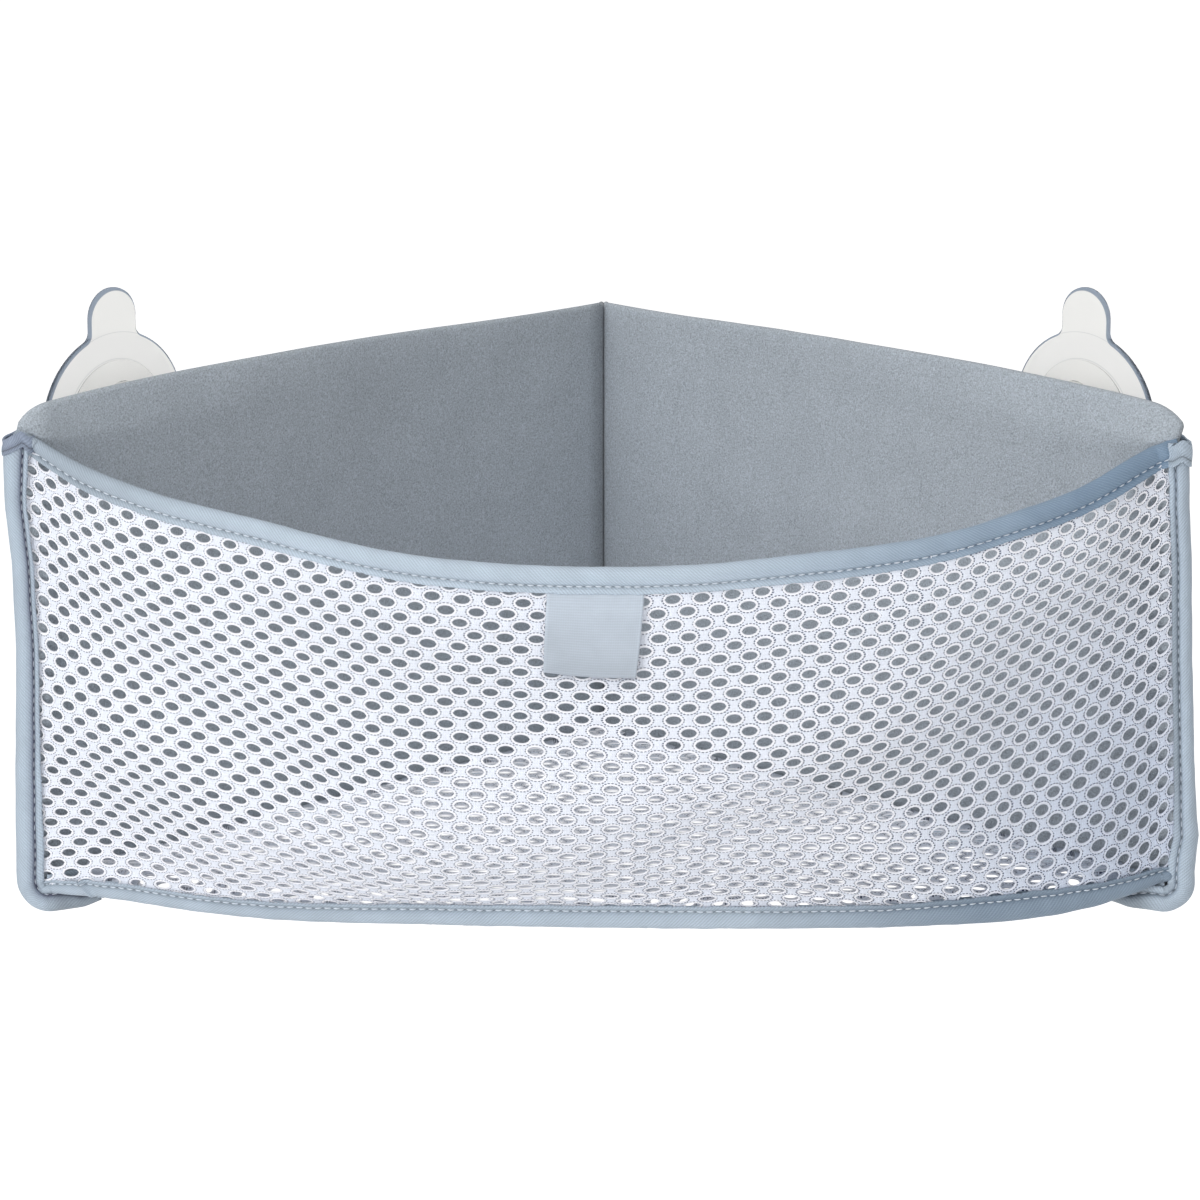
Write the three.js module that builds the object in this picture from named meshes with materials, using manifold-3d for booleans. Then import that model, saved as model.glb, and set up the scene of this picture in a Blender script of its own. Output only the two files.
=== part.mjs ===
// Corner bath toy organizer: a soft basket that hangs in the corner of a bath on two wall discs.
// Millimetres, +Z up. The Z axis is the line where the two room walls meet, the right wall is the
// plane y = -x, the left wall is the plane y = x, and the basket lies towards -Y.
// z = 0 is the height of the centres of the wall discs.

import * as THREE from 'three';
import { mergeVertices } from 'three/addons/utils/BufferGeometryUtils.js';
import Module from 'manifold-3d';

const wasm = await Module();
wasm.setup();

// Driving dimensions: the basket
const basketWidth = 402; // over the two side bindings
const panelTop = 10.5; // top edge of the back panels at the corner, above the disc centres
const seamBottom = -162; // lower edge of the bottom bindings
const panelThickness = 3.2; // foam laminate of the back panels
const seamThickness = 1.8; // the same laminate where the corner seam squeezes it
const panelCrown = 3.9; // rise of the top edge between its ends
const panelBow = 3; // bulge of a back panel towards the wall
const panelEndRound = 12; // rounded top corner at the front end of a back panel
const cornerBendRadius = 3; // turn of a panel into the corner seam
const frontBendRadius = 12; // turn of a panel into the side binding
const cornerAllowance = 8; // panel edge that stands back into the corner seam
const frontBulge = 37; // how far the net stands in front of the side bindings
const netBelly = 26; // how far the net sags out in front of its bindings
const netStraight = 3; // the net runs straight for this far beyond its bindings
const scoopDepth = 46.6; // dip of the net's top edge below the back panels' top
const scoopRise = 34.6; // rise of that edge from its middle to its ends
const netThickness = 1; // knitted net
const tapeThickness = 0.8; // woven binding tape
const sideBindingWidth = 12.5;
const sideBindingTop = 2.5; // above the disc centres
const topBindingWidth = 10;
const bottomBindingWidth = 7.6;
const footLength = 17; // tape that turns under the basket at a front corner
const footHeight = 4.7;
const floorCorner = 5.5; // the floor net reaches this far past the foot's end
const footRound = 10; // lower outer corner of a side binding
const labelWidth = 33; // satin label under the middle of the top binding
const labelHeight = 28;
const labelThickness = 0.6;

// Driving dimensions: the net's holes
const holeWidth = 11.5;
const holeHeight = 7;
const holePitch = 22; // along a row; the next row is set half a pitch aside
const rowPitch = 8.6;

// Driving dimensions: the wall discs, hooks and loops
const discRadius = 31;
const discMargin = 12.76; // from the disc's edge to the basket's front corner, along the wall
const padInset = 1; // from the disc's edge to the adhesive's
const padThickness = 0.6; // adhesive
const plateThickness = 2.4; // flexible clear plate
const circleRise = 0.25; // the raised round of the plate, which the pull tab lacks
const circleInset = 0.4; // from the disc's edge to that round
const tabHalfWidth = 10.1;
const tabLength = 15.5; // how far the tab stands above the disc
const tabNeck = 0.7; // the tab bends this far above the disc
const tabFillet = 2; // hollow round between the disc and the tab's neck
const flangeRadius = 21.1; // round foot of the hook
const flangeThickness = 0.7;
const hookWidth = 12;
const hookLip = 2; // thickness of the upright lip
const hookArm = 3; // thickness of the arm that the loop rests on
const hookTop = 14.3; // top of the lip, above the disc's centre
const hookRound = 1.8; // outer bend between the arm and the lip
const webbingThickness = 1.2;
const webbingWidth = 10;
const loopFlat = 18; // length of the loop's middle, across the hook
const loopRamp = 9; // length of each slope, from the middle up to the panel
const loopTab = 10; // length of each end, sewn to the panel

// Clearances
const clearance = 0.3; // between pieces that lie on each other
const webbingPlay = 0.5; // on each side of the webbing inside the hook
const lipPlay = 0.6; // from the hook's lip to the panel
const wallClearance = 0.8; // from the side binding to the room wall
const bindingEndGap = 2.5; // from the end of the top binding to the side binding
const seamEndGap = 1; // from the end of a bottom binding to the floor net's cut corner
const overrun = 1; // how far a cutter runs past what it cuts

// Shares
const crownShapeShare = 1.8; // power that puts the crown's peak nearer the front
const bowEndShare = 0.72; // the bow ends here along the wall, before the hook
const backLegShare = 0.35; // where the side binding's back leg starts on the front bend
const bottomStartShare = 0.03; // stretch of the wall with a bottom binding
const bottomEndShare = 0.955;
const bellyPeakShare = 0.4; // height of the sag's furthest point between the bindings
const bulgePower = 3; // the plan of the net is flat in the middle and steeper at its sides

// Segment counts
const wallSteps = 9;
const bendSteps = 4;
const topBindingSteps = 32;
const bottomBindingSteps = 28;
const discSegments = 40;
const roundSegments = 8;

// Derived: the stack on a wall, from the room wall outwards
const plateBack = padThickness + clearance;
const plateFront = plateBack + plateThickness;
const flangeBack = plateFront + circleRise + clearance;
const flangeFront = flangeBack + flangeThickness;
const webbingBack = flangeFront + webbingPlay;
const lipBack = webbingBack + webbingThickness + webbingPlay;
const lipFront = lipBack + hookLip;
const panelStandOff = lipFront + lipPlay;

// Derived: the disc's place along its wall, and its tab
const discDistance = basketWidth * Math.SQRT1_2 - discMargin - discRadius; // from the room corner
const padRadius = discRadius - padInset;
const tabHinge = discRadius + tabNeck; // above the disc's centre
const tabTop = discRadius + tabLength;

// Derived: half thicknesses and the layers of the seams
const panelHalf = panelThickness / 2;
const netHalf = netThickness / 2;
const sideStack = 2 * tapeThickness + 3 * clearance + panelThickness + netThickness;
const sideRound = sideStack / 2; // the side binding's fold is a half round
const sideEnd = basketWidth / 2 - sideRound; // panel and net end here, inside the fold
const netEdge = basketWidth / 2 - sideBindingWidth; // the net bulges between +-netEdge
const sideBack = -(basketWidth / 2 + wallClearance * Math.SQRT2);
const sideMiddle = sideBack - sideRound;
const panelEndY = sideBack - tapeThickness - clearance - panelHalf;
const netEdgeY = panelEndY - panelHalf - clearance - netHalf;
const netGap = netHalf + clearance; // from the net's middle to what lies on it
const netBottom = seamBottom + tapeThickness + clearance;
const floorBottom = seamBottom + bottomBindingWidth + clearance; // underside of the floor net
const floorTop = floorBottom + netThickness;

// Derived: the plan of the right back panel
const seamHalf = seamThickness / 2;
const flangeX = clearance / 2 + seamHalf;
const wallSum = -(panelStandOff + panelHalf) * Math.SQRT2; // x + y on the panel's middle
const cornerTurn = Math.PI / 4;
const cornerArcY = wallSum - flangeX + cornerBendRadius * (Math.SQRT2 - 1);
const cornerArc = new THREE.Vector2(flangeX + cornerBendRadius, cornerArcY);
const wallStart = new THREE.Vector2(
  cornerArc.x - cornerBendRadius * Math.SQRT1_2,
  cornerArc.y - cornerBendRadius * Math.SQRT1_2,
);
const wallEndY = panelEndY + frontBendRadius * (1 - Math.SQRT1_2);
const wallEnd = new THREE.Vector2(wallSum - wallEndY, wallEndY);
const wallLength = wallStart.distanceTo(wallEnd);
const frontArc = new THREE.Vector2(
  wallEnd.x + frontBendRadius * Math.SQRT1_2,
  wallEnd.y + frontBendRadius * Math.SQRT1_2,
);

// Helpers

function round(centre, radius, from, to, steps) {
  // points on an arc, both ends included
  const points = [];
  for (let i = 0; i <= steps; i += 1) {
    const angle = from + ((to - from) * i) / steps;
    points.push(new THREE.Vector2(
      centre.x + radius * Math.cos(angle),
      centre.y + radius * Math.sin(angle),
    ));
  }
  return points;
}

function circle(radius) {
  const points = round(new THREE.Vector2(), radius, 0, 2 * Math.PI, discSegments);
  points.pop();
  return points;
}

function plain(geometry) {
  // only positions, with shared corners merged
  const bare = geometry.clone();
  bare.deleteAttribute('normal');
  bare.deleteAttribute('uv');
  return mergeVertices(bare);
}

function solid(geometry) {
  const merged = plain(geometry);
  return new wasm.Manifold(new wasm.Mesh({
    numProp: 3,
    vertProperties: new Float32Array(merged.attributes.position.array),
    triVerts: new Uint32Array(merged.index.array),
  }));
}

function geometryOf(body) {
  const mesh = body.getMesh();
  const geometry = new THREE.BufferGeometry();
  geometry.setAttribute('position', new THREE.BufferAttribute(mesh.vertProperties, 3));
  geometry.setIndex(new THREE.BufferAttribute(mesh.triVerts, 1));
  return geometry;
}

function extruded(points, from, height) {
  // a plan outline raised along +Z
  const geometry = new THREE.ExtrudeGeometry(new THREE.Shape(points), {
    depth: height, bevelEnabled: false,
  });
  return geometry.translate(0, 0, from);
}

function offWall(points, from, thickness) {
  // an outline seen from the room, in a wall's frame, thickened away from the wall
  return extruded(points, from, thickness).rotateX(Math.PI / 2);
}

function facingOut(geometry) {
  // turns a closed surface right side out, by the sign of its volume
  const p = geometry.attributes.position;
  const index = geometry.index.array;
  const [a, b, c] = [new THREE.Vector3(), new THREE.Vector3(), new THREE.Vector3()];
  let volume = 0;
  for (let i = 0; i < index.length; i += 3) {
    a.fromBufferAttribute(p, index[i]);
    b.fromBufferAttribute(p, index[i + 1]);
    c.fromBufferAttribute(p, index[i + 2]);
    volume += a.dot(b.cross(c));
  }
  if (volume < 0) {
    for (let i = 0; i < index.length; i += 3) {
      [index[i], index[i + 1]] = [index[i + 1], index[i]];
    }
  }
  return geometry;
}

function lofted(rings, section) {
  // a closed solid through rings of points; section is the flat outline that closes its ends
  const count = section.length;
  const points = rings.flat().flatMap((point) => point.toArray());
  const index = [];
  for (let i = 0; i + 1 < rings.length; i += 1) {
    for (let j = 0; j < count; j += 1) {
      const a = i * count + j;
      const b = i * count + ((j + 1) % count);
      index.push(a, b, a + count, b, b + count, a + count);
    }
  }
  const last = (rings.length - 1) * count;
  const flip = THREE.ShapeUtils.isClockWise(section);
  for (const [i, j, k] of THREE.ShapeUtils.triangulateShape(section, [])) {
    const [m, n] = flip ? [j, k] : [k, j];
    index.push(i, m, n, last + i, last + n, last + m);
  }
  const geometry = new THREE.BufferGeometry();
  geometry.setAttribute('position', new THREE.Float32BufferAttribute(points, 3));
  geometry.setIndex(index);
  return facingOut(geometry);
}

function mirrored(geometry) {
  // the same piece for the left side of the basket
  const twin = plain(geometry);
  twin.scale(-1, 1, 1);
  const index = twin.index.array;
  for (let i = 0; i < index.length; i += 3) {
    [index[i], index[i + 1]] = [index[i + 1], index[i]];
  }
  return twin;
}

// The plan of a back panel: stations with a place and the direction towards the room wall

function station(x, y, angle) {
  return { place: new THREE.Vector2(x, y), out: new THREE.Vector2(Math.cos(angle), Math.sin(angle)) };
}

function offset(at, distance) {
  return at.place.clone().addScaledVector(at.out, distance);
}

function cornerBend(share) {
  const angle = cornerTurn * share;
  return station(
    cornerArc.x - cornerBendRadius * Math.cos(angle),
    cornerArc.y - cornerBendRadius * Math.sin(angle),
    angle,
  );
}

function alongWall(share) {
  // the straight wall, bowed outwards by sin squared up to bowEndShare
  const phase = Math.PI * Math.min(share / bowEndShare, 1);
  const depth = panelBow * Math.sin(phase) ** 2;
  const slope = (panelBow * Math.PI * Math.sin(2 * phase)) / (bowEndShare * wallLength);
  const straight = wallStart.clone().lerp(wallEnd, share);
  const bowed = offset(station(straight.x, straight.y, cornerTurn), depth);
  return station(bowed.x, bowed.y, cornerTurn + Math.atan(slope));
}

function frontBend(share) {
  const heading = cornerTurn * (share - 1);
  return station(
    frontArc.x + frontBendRadius * Math.sin(heading),
    frontArc.y - frontBendRadius * Math.cos(heading),
    heading + Math.PI / 2,
  );
}

function panelTopAt(x) {
  // crowned top edge, rounded down at the front end
  const share = Math.max(x, 0) / (basketWidth / 2);
  const crown = panelCrown * Math.sin(Math.PI * share ** crownShapeShare);
  const past = Math.max(x - (sideEnd - panelEndRound), 0);
  const drop = panelEndRound - Math.sqrt(Math.max(panelEndRound ** 2 - past ** 2, 0));
  return panelTop + crown - drop;
}

// The plan of the net

function netY(x) {
  const share = Math.min(Math.abs(x) / netEdge, 1);
  return netEdgeY - frontBulge * (1 - share ** bulgePower);
}

function netInward(x) {
  // direction into the basket, square to the net's plan
  const share = Math.abs(x) / netEdge;
  const slope = share < 1 ? (frontBulge * bulgePower * share ** (bulgePower - 1)) / netEdge : 0;
  return new THREE.Vector2(-slope * Math.sign(x), 1).normalize();
}

function netPlan(x, inward) {
  return new THREE.Vector2(x, netY(x)).addScaledVector(netInward(x), inward);
}

function scoopAt(x) {
  // upper edge of the top binding
  return panelTop - scoopDepth + scoopRise * (x / netEdge) ** 2;
}

function bellyAt(x, z) {
  // one arch of a sine over the height, bent so that its peak lies at bellyPeakShare
  const low = floorBottom + netStraight;
  const high = scoopAt(x) - topBindingWidth - netStraight;
  const share = THREE.MathUtils.clamp((z - low) / (high - low), 0, 1);
  const middle = 1 - Math.min(Math.abs(x) / netEdge, 1) ** bulgePower;
  const bend = (1 / 2 - bellyPeakShare) / (bellyPeakShare * (1 - bellyPeakShare));
  const bent = share * (1 + bend * (1 - share));
  return netBelly * middle * Math.sin(Math.PI * bent);
}

function netPoint(x, z, inward) {
  const plan = netPlan(x, inward);
  return new THREE.Vector3(plan.x, plan.y - bellyAt(x, z), z);
}

class NetCurve extends THREE.Curve {
  // the net's lower edge in plan, from its left end to its right end
  getPoint(t, target = new THREE.Vector3()) {
    const x = sideEnd * (2 * t - 1);
    return target.set(x, netY(x), 0);
  }
}

const netCurve = new NetCurve();
const netLength = netCurve.getLength();

function xAlongNet(distance) {
  // distance is measured along the cloth from its middle
  const share = THREE.MathUtils.clamp(distance / netLength + 1 / 2, 0, 1);
  return netCurve.getPointAt(share).x;
}

// Back panels, of foam laminate

function backPanel() {
  const stations = [
    { at: station(flangeX, cornerArc.y + cornerAllowance, 0), half: seamHalf },
  ];
  for (let i = 0; i <= bendSteps; i += 1) {
    const share = i / bendSteps;
    const half = THREE.MathUtils.lerp(seamHalf, panelHalf, share);
    stations.push({ at: cornerBend(share), half });
  }
  for (let i = 1; i <= wallSteps; i += 1) {
    stations.push({ at: alongWall(i / wallSteps), half: panelHalf });
  }
  for (let i = 1; i <= bendSteps; i += 1) {
    stations.push({ at: frontBend(i / bendSteps), half: panelHalf });
  }
  stations.push({ at: station(sideEnd, panelEndY, Math.PI / 2), half: panelHalf });
  // section: a tall strip with a round top, in (across, height above the bottom edge)
  const section = [
    new THREE.Vector2(panelHalf, 0),
    ...round(new THREE.Vector2(0, panelTop), panelHalf, 0, Math.PI, bendSteps),
    new THREE.Vector2(-panelHalf, 0),
  ];
  const rings = stations.map(({ at, half }) => {
    const top = panelTopAt(at.place.x) - half;
    return section.map((point) => {
      const plan = offset(at, point.x * (half / panelHalf));
      const rise = ((point.y - panelTop) * half) / panelHalf;
      return new THREE.Vector3(plan.x, plan.y, point.y < panelTop ? netBottom : top + rise);
    });
  });
  return lofted(rings, section);
}

// Binding tape, folded over the seams

function cornerSeamBinding() {
  // a U in plan round the two panel edges that stand back into the room corner
  const inner = clearance / 2 + seamThickness + clearance;
  const outer = inner + tapeThickness;
  const back = cornerArc.y + cornerAllowance + clearance;
  const front = cornerArc.y + clearance;
  const outline = [
    new THREE.Vector2(outer, front),
    ...round(new THREE.Vector2(0, back), outer, 0, Math.PI, roundSegments)
      .map((point) => new THREE.Vector2(point.x, back + (point.y - back) * (tapeThickness / outer))),
    new THREE.Vector2(-outer, front),
    new THREE.Vector2(-inner, front),
    new THREE.Vector2(-inner, back),
    new THREE.Vector2(inner, back),
    new THREE.Vector2(inner, front),
  ];
  return extruded(outline, netBottom, panelTop - tapeThickness - netBottom);
}

function sideBinding() {
  // plan: back leg on the panel, half-round fold, front leg on the net
  const legInside = panelHalf + clearance;
  const legOutside = legInside + tapeThickness;
  const shares = [backLegShare, (1 + backLegShare) / 2, 1];
  const fold = new THREE.Vector2(sideEnd, sideMiddle);
  const quarter = Math.PI / 2;
  const frontFace = sideMiddle - sideRound;
  const outline = [
    ...shares.map((share) => offset(frontBend(share), legOutside)),
    ...round(fold, sideRound, quarter, -quarter, roundSegments),
    new THREE.Vector2(netEdge + clearance, frontFace),
    new THREE.Vector2(netEdge + clearance, frontFace + tapeThickness),
    ...round(fold, sideRound - tapeThickness, -quarter, quarter, roundSegments),
    ...shares.map((share) => offset(frontBend(share), legInside)).reverse(),
  ];
  const footTop = seamBottom - clearance;
  const uprightStart = footTop - clearance; // inside the foot, so that the two join
  const upright = extruded(outline, uprightStart, sideBindingTop - uprightStart);
  // foot: the tape turns the corner and runs under the basket
  const footStart = netEdge - footLength;
  const low = seamBottom - footHeight;
  const foot = extruded([
    new THREE.Vector2(footStart, frontFace),
    ...round(fold, sideRound, -quarter, quarter, roundSegments),
    new THREE.Vector2(footStart, sideBack),
  ], low, footTop - low);
  // elevation: the outer lower corner is round
  const high = sideBindingTop + overrun;
  const far = basketWidth / 2;
  const elevation = extruded([
    new THREE.Vector2(footStart - overrun, low),
    ...round(new THREE.Vector2(far - footRound, low + footRound), footRound, -quarter, 0,
      roundSegments),
    new THREE.Vector2(far, high),
    new THREE.Vector2(footStart - overrun, high),
  ], 0, sideStack + 2 * (frontBendRadius + overrun));
  elevation.rotateX(quarter).translate(0, sideBack + frontBendRadius + overrun, 0);
  return geometryOf(solid(upright).add(solid(foot)).intersect(solid(elevation)));
}

function topBinding() {
  // an upside-down U over the net's scooped top edge
  const outer = netGap + tapeThickness;
  const shoulder = tapeThickness;
  const section = [
    new THREE.Vector2(-outer, -topBindingWidth),
    new THREE.Vector2(-outer, -shoulder),
    new THREE.Vector2(-outer / 2, 0),
    new THREE.Vector2(outer / 2, 0),
    new THREE.Vector2(outer, -shoulder),
    new THREE.Vector2(outer, -topBindingWidth),
    new THREE.Vector2(netGap, -topBindingWidth),
    new THREE.Vector2(netGap, -tapeThickness),
    new THREE.Vector2(-netGap, -tapeThickness),
    new THREE.Vector2(-netGap, -topBindingWidth),
  ];
  const end = netEdge - bindingEndGap;
  const rings = [];
  for (let i = 0; i <= topBindingSteps; i += 1) {
    const x = end * ((2 * i) / topBindingSteps - 1);
    rings.push(section.map((point) => netPoint(x, scoopAt(x) + point.y, point.x)));
  }
  return lofted(rings, section);
}

function bottomSection(outerFace, innerFace) {
  // a U open at the top, in (across, height); the faces are those of the layers that it holds
  const outer = outerFace + tapeThickness;
  const inner = innerFace + tapeThickness;
  return [
    new THREE.Vector2(-inner, bottomBindingWidth),
    new THREE.Vector2(-inner, tapeThickness),
    new THREE.Vector2(-inner + tapeThickness, 0),
    new THREE.Vector2(outer - tapeThickness, 0),
    new THREE.Vector2(outer, tapeThickness),
    new THREE.Vector2(outer, bottomBindingWidth),
    new THREE.Vector2(outerFace, bottomBindingWidth),
    new THREE.Vector2(outerFace, tapeThickness),
    new THREE.Vector2(-innerFace, tapeThickness),
    new THREE.Vector2(-innerFace, bottomBindingWidth),
  ];
}

const skirtStack = netThickness + clearance; // the floor net's skirt inside a bottom binding
const floorEnd = netEdge - footLength + floorCorner; // the floor net's cut corner
const bottomSeamEnd = netThickness + seamEndGap; // the bottom bindings stop this far before it

function bottomBindingFront() {
  const section = bottomSection(netGap, netGap + skirtStack);
  const rings = [];
  for (let i = 0; i <= bottomBindingSteps; i += 1) {
    const x = (floorEnd - bottomSeamEnd) * ((2 * i) / bottomBindingSteps - 1);
    rings.push(section.map((point) => netPoint(x, seamBottom + point.y, -point.x)));
  }
  return lofted(rings, section);
}

function bottomBindingBack() {
  const face = panelHalf + clearance;
  const section = bottomSection(face, face + skirtStack);
  const end = bottomEndShare - bottomSeamEnd / wallLength;
  const rings = [];
  for (let i = 0; i <= wallSteps; i += 1) {
    const at = alongWall(THREE.MathUtils.lerp(bottomStartShare, end, i / wallSteps));
    rings.push(section.map((point) => {
      const plan = offset(at, point.x);
      return new THREE.Vector3(plan.x, plan.y, seamBottom + point.y);
    }));
  }
  return lofted(rings, section);
}

// Net at the front and the floor net

function holeHeights(u, columnIndex) {
  // the rows of a column whose whole hole lies between the floor and the top binding
  const heights = [];
  if (Math.abs(u) + holePitch / 2 > netLength / 2 - sideBindingWidth) return heights;
  const low = floorTop + holeHeight / 2 + tapeThickness;
  const nearest = Math.max(xAlongNet(Math.abs(u) - holeWidth / 2), 0);
  const ceiling = scoopAt(nearest) - topBindingWidth - holeHeight / 2;
  for (let row = Math.abs(columnIndex % 2); low + row * rowPitch < ceiling; row += 2) {
    heights.push(low + row * rowPitch);
  }
  return heights;
}

function netColumn(u, columnIndex, side) {
  // the cloth's edge along a column from bottom to top, round one side of each of its holes
  const x = THREE.MathUtils.clamp(xAlongNet(u), -netEdge, netEdge);
  const points = [new THREE.Vector2(u, netBottom), new THREE.Vector2(u, floorBottom)];
  for (const z of holeHeights(u, columnIndex)) {
    const reach = u + (side * holeWidth) / 2;
    points.push(
      new THREE.Vector2(u, z - holeHeight / 2),
      new THREE.Vector2(reach, z - holeHeight / 4),
      new THREE.Vector2(reach, z + holeHeight / 4),
      new THREE.Vector2(u, z + holeHeight / 2),
    );
  }
  points.push(
    new THREE.Vector2(u, scoopAt(x) - topBindingWidth),
    new THREE.Vector2(u, scoopAt(x) - tapeThickness - clearance),
  );
  return points;
}

function frontNet() {
  // cut flat, as u along the cloth and z up, in strips between columns of holes; then each point
  // is bent to the bulge twice, for the two faces, and walls close the edges that no strip shares
  const edge = netLength / 2;
  const mouth = edge - (sideEnd - netEdge); // here the net comes out of the side binding
  const half = Math.ceil((2 * mouth) / holePitch) - 1;
  const columns = [{ u: -edge, index: 0 }, { u: -mouth, index: 0 }];
  for (let i = -half; i <= half; i += 1) columns.push({ u: (i * holePitch) / 2, index: i });
  columns.push({ u: mouth, index: 0 }, { u: edge, index: 0 });
  const flat = [];
  const lookup = new Map();
  const indexOf = (point) => {
    const key = point.toArray().map((value) => value.toFixed(3)).join();
    if (!lookup.has(key)) lookup.set(key, flat.push(point) - 1);
    return lookup.get(key);
  };
  const triangles = [];
  for (let i = 0; i + 1 < columns.length; i += 1) {
    const left = netColumn(columns[i].u, columns[i].index, 1);
    const right = netColumn(columns[i + 1].u, columns[i + 1].index, -1);
    // the stretches inside the bottom and the top binding stay apart from the one that sags
    for (const stretch of [[0, 2], [1, -1], [-2]]) {
      const strip = [...right.slice(...stretch), ...left.slice(...stretch).reverse()];
      for (const corners of THREE.ShapeUtils.triangulateShape(strip, [])) {
        triangles.push(corners.map((corner) => indexOf(strip[corner])));
      }
    }
  }
  const edges = new Set(triangles.flatMap(([a, b, c]) => [`${a},${b}`, `${b},${c}`, `${c},${a}`]));
  const positions = [];
  for (const inward of [-netHalf, netHalf]) {
    for (const point of flat) {
      positions.push(...netPoint(xAlongNet(point.x), point.y, inward).toArray());
    }
  }
  const count = flat.length;
  const index = [];
  for (const [a, b, c] of triangles) {
    index.push(a, b, c, c + count, b + count, a + count);
  }
  for (const edge of edges) {
    const [a, b] = edge.split(',').map(Number);
    if (!edges.has(`${b},${a}`)) index.push(b, a, a + count, a + count, b + count, b);
  }
  const geometry = new THREE.BufferGeometry();
  geometry.setAttribute('position', new THREE.Float32BufferAttribute(positions, 3));
  geometry.setIndex(index);
  return facingOut(geometry);
}

function floorOutline(inset) {
  // right half from the back corner to the front, then its mirror image
  const half = [];
  const wallInset = panelHalf + clearance + inset;
  for (let i = 0; i <= wallSteps; i += 1) {
    const share = THREE.MathUtils.lerp(bottomStartShare, bottomEndShare, i / wallSteps);
    half.push(offset(alongWall(share), -wallInset));
  }
  for (let i = bottomBindingSteps / 2; i > 0; i -= 1) {
    const x = ((floorEnd - inset) * 2 * i) / bottomBindingSteps;
    half.push(netPlan(x, netGap + inset));
  }
  const twin = half.map((point) => new THREE.Vector2(-point.x, point.y)).reverse();
  const middle = netPlan(0, netGap + inset);
  const back = new THREE.Vector2(0, -(panelStandOff + panelHalf + wallInset) * Math.SQRT2);
  return [back, ...half, middle, ...twin];
}

function floorNet() {
  // a tray turned upside down: the floor, and a skirt that goes down into the bottom bindings
  const blank = extruded(floorOutline(0), netBottom, floorTop - netBottom);
  const hollow = extruded(floorOutline(netThickness), netBottom - overrun,
    floorBottom - netBottom + overrun);
  return geometryOf(solid(blank).subtract(solid(hollow)));
}

// Label under the middle of the top binding

function labelTag() {
  const back = -netGap;
  const front = back - labelThickness;
  const high = scoopAt(0) - topBindingWidth - clearance;
  const section = [
    new THREE.Vector2(back, 0),
    new THREE.Vector2(front, 0),
    new THREE.Vector2(front, labelHeight),
    new THREE.Vector2(back, labelHeight),
  ];
  const rings = [];
  for (let i = 0; i <= bendSteps; i += 1) {
    const x = (labelWidth / 2) * ((2 * i) / bendSteps - 1);
    rings.push(section.map((point) => {
      const plan = netPlan(x, point.x);
      const z = high - point.y;
      return new THREE.Vector3(plan.x, plan.y - bellyAt(x, z), z);
    }));
  }
  return lofted(rings, section);
}

// Hanging loop: webbing sewn to the back of a panel, in the wall's frame (u along, w off the wall)

const webbingBottom = clearance;

function hangingLoop() {
  const sewn = panelStandOff - clearance - webbingThickness;
  const middle = loopFlat / 2;
  const ramp = middle + loopRamp;
  const end = ramp + loopTab;
  const path = [[-end, sewn], [-ramp, sewn], [-middle, webbingBack], [middle, webbingBack],
    [ramp, sewn], [end, sewn]];
  const back = path.map(([u, w]) => new THREE.Vector2(u, -w));
  const front = path.map(([u, w]) => new THREE.Vector2(u, -w - webbingThickness)).reverse();
  return extruded([...back, ...front], webbingBottom, webbingWidth);
}

// Wall disc: adhesive pad, clear plate with its pull tab, and the hook

function tabEnd(from) {
  // the pull tab's round end, above the height from
  const centre = new THREE.Vector2(0, tabTop - tabHalfWidth);
  return [
    new THREE.Vector2(-tabHalfWidth, from),
    new THREE.Vector2(tabHalfWidth, from),
    ...round(centre, tabHalfWidth, 0, Math.PI, 2 * roundSegments),
  ];
}

function plateOutline() {
  // the disc and the neck of its tab, with a small hollow round where they meet
  const reach = discRadius + tabFillet;
  const side = tabHalfWidth + tabFillet;
  const height = Math.sqrt(reach ** 2 - side ** 2);
  const lean = Math.atan2(height, side);
  const neck = tabHinge - clearance / 2;
  const right = new THREE.Vector2(side, height);
  const left = new THREE.Vector2(-side, height);
  return [
    new THREE.Vector2(-tabHalfWidth, neck),
    ...round(left, tabFillet, 0, -lean, bendSteps),
    ...round(new THREE.Vector2(), discRadius, Math.PI - lean, 2 * Math.PI + lean, discSegments)
      .slice(1, -1),
    ...round(right, tabFillet, Math.PI + lean, Math.PI, bendSteps),
    new THREE.Vector2(tabHalfWidth, neck),
  ];
}

function mountDisc() {
  const plate = solid(offWall(plateOutline(), plateBack, plateThickness));
  const raised = solid(offWall(circle(discRadius - circleInset), plateBack,
    plateThickness + circleRise));
  return geometryOf(plate.add(raised));
}

function pullTab() {
  return offWall(tabEnd(tabHinge + clearance / 2), plateBack, plateThickness);
}

function adhesivePad() {
  return offWall(circle(padRadius), 0, padThickness);
}

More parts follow.
